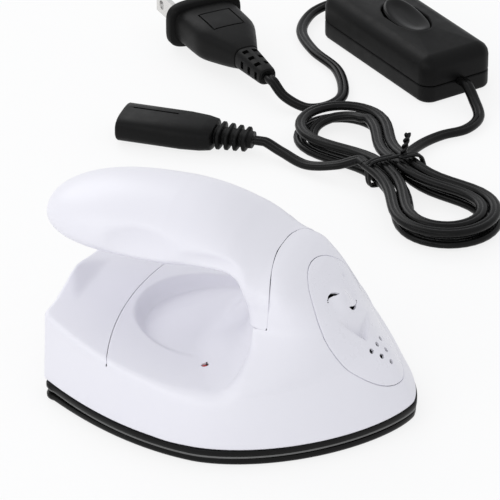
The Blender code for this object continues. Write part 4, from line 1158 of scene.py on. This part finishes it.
def make_connector(mats):
    """Flat two-hole connector with a thumb groove and four relief ribs."""
    stations = [(0.0, 6.9, 3.5, 3.0), (0.25, 7.25, 3.85, 3.0), (0.7, 7.5, 4.15, 3.0), (20.0, 7.5, 4.15, 3.0),
                (25.5, 7.0, 4.0, 2.9), (28.6, 6.2, 3.7, 2.8), (29.0, 5.6, 3.4, 2.8), (29.2, 3.6, 2.5, 2.6)]
    for start in (30.0, 32.6, 35.2, 37.8):
        wide = 5.2 - 0.2 * (start - 30.0) / 2.6
        high = 3.2 - 0.12 * (start - 30.0) / 2.6
        rib = ((0.15, 0.3), (0.4, 0.0), (1.1, 0.0), (1.35, 0.3))
        stations.append((start, 3.2, 2.3, 2.4))
        stations += [(start + reach, wide - inset, high - inset, 3.2) for reach, inset in rib]
        stations.append((start + 1.5, 3.2, 2.3, 2.4))
    stations.append((CONNECTOR_LENGTH, 3.0, 2.2, 2.4))
    cuts = [round_solid(CONNECTOR_AT, -1.0, side * PIN_PITCH / 2, 0.0, 1.5, 11.0) for side in (-1, 1)]
    cuts.append(block(CONNECTOR_AT, (3.0, 1.5, 3.75), (17.0, 2.2, 6.0)))
    return [fitting(mats, "connector", section_rings(CONNECTOR_AT, stations), cuts)]


def make_plug(mats):
    """Two-blade plug: rounded flange, tapering grip with a bordered window, slotted relief."""
    stations = [(0.0, 11.3, 6.6, 4.0), (0.2, 11.9, 7.1, 4.0), (0.7, 12.3, 7.5, 4.0), (2.7, 12.3, 7.5, 4.0),
                (3.2, 12.0, 7.2, 4.0), (3.5, 11.3, 6.5, 4.0), (3.6, 10.5, 5.9, 3.6)]
    stations += soft_stations([(4.0, 10.3, 5.8, 3.6), (16.0, 9.9, 5.9, 3.4), (23.0, 7.4, 5.2, 3.2),
                               (29.0, 4.7, 4.1, 3.0), (30.4, 4.1, 3.7, 2.9)], 16)
    stations += [(30.6, 3.6, 3.3, 2.8), (31.0, 3.9, 3.5, 2.9), (43.8, 2.9, 2.7, 2.8), (44.6, 2.75, 2.55, 2.7),
                 (PLUG_LENGTH, 2.3, 2.1, 2.6)]
    cuts = []
    for row in range(3):
        start = 32.2 + 3.9 * row
        for low, high in ((-2.3, -0.5), (0.9, 2.7)):
            for under in (2.2 - 0.25 * row, -5.0):
                cuts.append(block(PLUG_AT, (start, low, under), (start + 1.7, high, under + 2.8)))
        inner = 2.7 - 0.22 * row
        for low, high in ((-6.0, -inner), (inner, 6.0)):
            cuts.append(block(PLUG_AT, (start + 1.95, low, -1.2), (start + 3.4, high, 1.2)))
    for low, high in (((8.6, -5.4), (19.4, -4.9)), ((8.6, 4.9), (19.4, 5.4)), ((8.6, -5.4), (9.1, 5.4)),
                      ((18.9, -5.4), (19.4, 5.4))):
        cuts.append(block(PLUG_AT, low + (5.25,), high + (8.0,)))
    for middle in (-BLADE_PITCH / 2, BLADE_PITCH / 2):
        cuts.append(block(PLUG_AT, (-1.0, middle - 0.95, -3.35), (5.8, middle + 0.95, 3.35)))
    body = fitting(mats, "plug_body", section_rings(PLUG_AT, stations), cuts)
    return [body, "plug_blade_1", "plug_blade_2"]


def box_rings(levels):
    """Rings of the switch's plan, from (height, inset) levels."""
    rings = []
    for z, inset in levels:
        corner = max(SWITCH_CORNER - inset, TOP_CORNER)
        plan = rounded_box(SWITCH_HALF_LONG - inset, SWITCH_HALF_WIDE - inset, corner)
        rings.append([SWITCH_AT.point(a, b, z) for a, b in plan])
    return rings


def make_switch(mats):
    """Two-part inline switch: soft top edges, low seam and an oval well."""
    lower = box_rings([(0.0, 1.6), (0.15, 0.9), (0.5, 0.35), (1.0, 0.05), (1.6, 0.0), (5.3, 0.0), (5.6, 0.3)])
    bottom = fitting(mats, "switch_bottom", lower)
    upper = box_rings([(5.9, 0.3), (6.15, 0.0), (10.6, 0.0), (12.0, 0.25), (13.2, 0.95), (14.1, 2.05),
                       (14.6, 3.2), (14.8, TOP_INSET)])
    outer = rounded_box(SWITCH_HALF_LONG - TOP_INSET, SWITCH_HALF_WIDE - TOP_INSET, TOP_CORNER)
    for z, grow in ((14.8, 1.6), (14.95, 1.2), (14.9, 0.75), (14.6, 0.5), (14.0, 0.42), (9.0, 0.42)):
        long, wide = ROCKER_HALF_LONG + 0.6 + grow, ROCKER_HALF_WIDE + grow
        turns = [math.atan2(b / 0.62, a) for a, b in outer]
        upper.append([SWITCH_AT.point(long * math.cos(turn), wide * math.sin(turn), z) for turn in turns])
    return [fitting(mats, "switch_top", upper), bottom]


def make_rocker(mats):
    """Glossy rocker in its photographed state, with a slightly hollow top."""
    tilt = math.radians(ROCKER_TILT)
    rings = []
    levels = [(-2.2, 1.7), (-1.0, 0.9), (0.0, 0.4), (1.6, 0.05), (2.6, 0.0), (3.1, 0.12), (3.4, 0.45),
              (3.55, 0.9), (3.5, 1.6), (3.3, 2.6), (3.15, 3.6), (3.1, 4.7)]
    for z, inset in levels:
        ring = []
        for a, b in superellipse(ROCKER_HALF_LONG + 0.3 - inset, ROCKER_HALF_WIDE - inset, 2.25, 56):
            up = z + (0.9 * (a / ROCKER_HALF_LONG) ** 2 if z > 2.0 else 0.0)
            ring.append(SWITCH_AT.point(a * math.cos(tilt) + up * math.sin(tilt), b,
                                        PIVOT_Z + up * math.cos(tilt) - a * math.sin(tilt)))
        rings.append(ring)
    return [loft_piece("switch_rocker_fine", rings, mats["rocker"], "rocker",
                       ["switch_rocker"]).name]


def make_tie(mats):
    """Wire tie: two turns round the waist of the hank and a twisted end standing up."""
    points = [Vector((a, b, 0.0)) for a, b in TIE_LOOP]
    outline = smooth_path(points[-2:] + points + points[:3], 6)[7:-8]
    loop = []
    for turn in (0, 1):
        for i, point in enumerate(outline):
            along = -0.8 + 1.2 * (turn + i / len(outline)) + 1.1 * point.x / 9.6
            loop.append(HANK_AT.point(along, point.x, point.y))
    wires = [("tie_loop", loop, ["cord_tie"])]
    for number, start in ((1, 0.0), (2, math.pi)):
        path = []
        for i in range(31):
            rise = 6.0 * i / 30
            turn = start + 2 * math.pi * rise / 3.4
            path.append(HANK_AT.point(0.6 + TIE_R * math.cos(turn) - 0.1 * rise,
                                      3.0 + TIE_R * math.sin(turn) + 0.3 * rise, 8.9 + rise))
        wires.append((f"tie_end_{number}", path, []))
    return [loft_piece(name, sweep(path, circle(10, TIE_R), TIE_UP), mats["tie"], "cord_set",
                       nodes).name for name, path, nodes in wires]


# Floor, backdrop and light


def make_stage():
    nodes = Nodes("floor_paint")
    rays = nodes.add("ShaderNodeLightPath")
    glow = nodes.add("ShaderNodeEmission", {"Color": tone(1.0), "Strength": 1.0})
    mix = nodes.add("ShaderNodeMixShader")
    seen = nodes.add("ShaderNodeMath", {1: FLOOR_GLOW}, operation="MULTIPLY")
    either = nodes.add("ShaderNodeMath", operation="MAXIMUM")
    nodes.shader.inputs["Base Color"].default_value = (0.88, 0.88, 0.885, 1.0)
    nodes.shader.inputs["Roughness"].default_value = 0.9
    nodes.shader.inputs["Specular IOR Level"].default_value = 0.1
    nodes.link(rays.outputs["Is Camera Ray"], either.inputs[0])
    nodes.link(rays.outputs["Is Glossy Ray"], either.inputs[1])
    nodes.link(either.outputs[0], seen.inputs[0])
    nodes.link(seen.outputs[0], mix.inputs["Fac"])
    nodes.link(nodes.shader.outputs["BSDF"], mix.inputs[1])
    nodes.link(glow.outputs["Emission"], mix.inputs[2])
    nodes.link(mix.outputs["Shader"], nodes.tree.nodes["Material Output"].inputs["Surface"])
    corners = [(FLOOR_HALF * a, FLOOR_HALF * b, FLOOR_Z) for a, b in ((-1, -1), (1, -1), (1, 1), (-1, 1))]
    mesh = bpy.data.meshes.new("floor")
    mesh.from_pydata(corners, [], [(0, 1, 2, 3)])
    mesh.materials.append(nodes.material)
    link_object("floor", mesh)


def make_light():
    world = bpy.data.worlds.new("studio")
    bpy.context.scene.world = world
    world.use_nodes = True
    tree = world.node_tree
    ambient = tree.nodes["Background"]
    ambient.inputs["Color"].default_value = (0.97, 0.98, 1.0, 1.0)
    ambient.inputs["Strength"].default_value = AMBIENT
    white = tree.nodes.new("ShaderNodeBackground")
    white.inputs["Color"].default_value = tone(1.0)
    white.inputs["Strength"].default_value = 1.0
    rays = tree.nodes.new("ShaderNodeLightPath")
    mix = tree.nodes.new("ShaderNodeMixShader")
    tree.links.new(rays.outputs["Is Camera Ray"], mix.inputs["Fac"])
    tree.links.new(ambient.outputs["Background"], mix.inputs[1])
    tree.links.new(white.outputs["Background"], mix.inputs[2])
    tree.links.new(mix.outputs["Shader"], tree.nodes["World Output"].inputs["Surface"])
    for name, place, size, power in LAMPS:
        data = bpy.data.lights.new(name, "AREA")
        data.size = size
        data.energy = power
        lamp = link_object(name, data)
        lamp.location = place
        lamp.rotation_mode = "QUATERNION"
        lamp.rotation_quaternion = (Vector(LAMP_AIM) - Vector(place)).to_track_quat("-Z", "Y")


make_camera()
MATS = make_materials()
dress_nodes(MATS)
PLUG = make_plug(MATS)
SWITCH = make_switch(MATS) + make_rocker(MATS)
make_cords(MATS, PLUG, SWITCH, make_connector(MATS), make_tie(MATS))
make_plates(MATS)
make_body(MATS)
make_lamp(MATS)
make_handle(MATS)
make_panel(MATS)
make_stage()
make_light()
bpy.context.scene.view_settings.view_transform = "Standard"
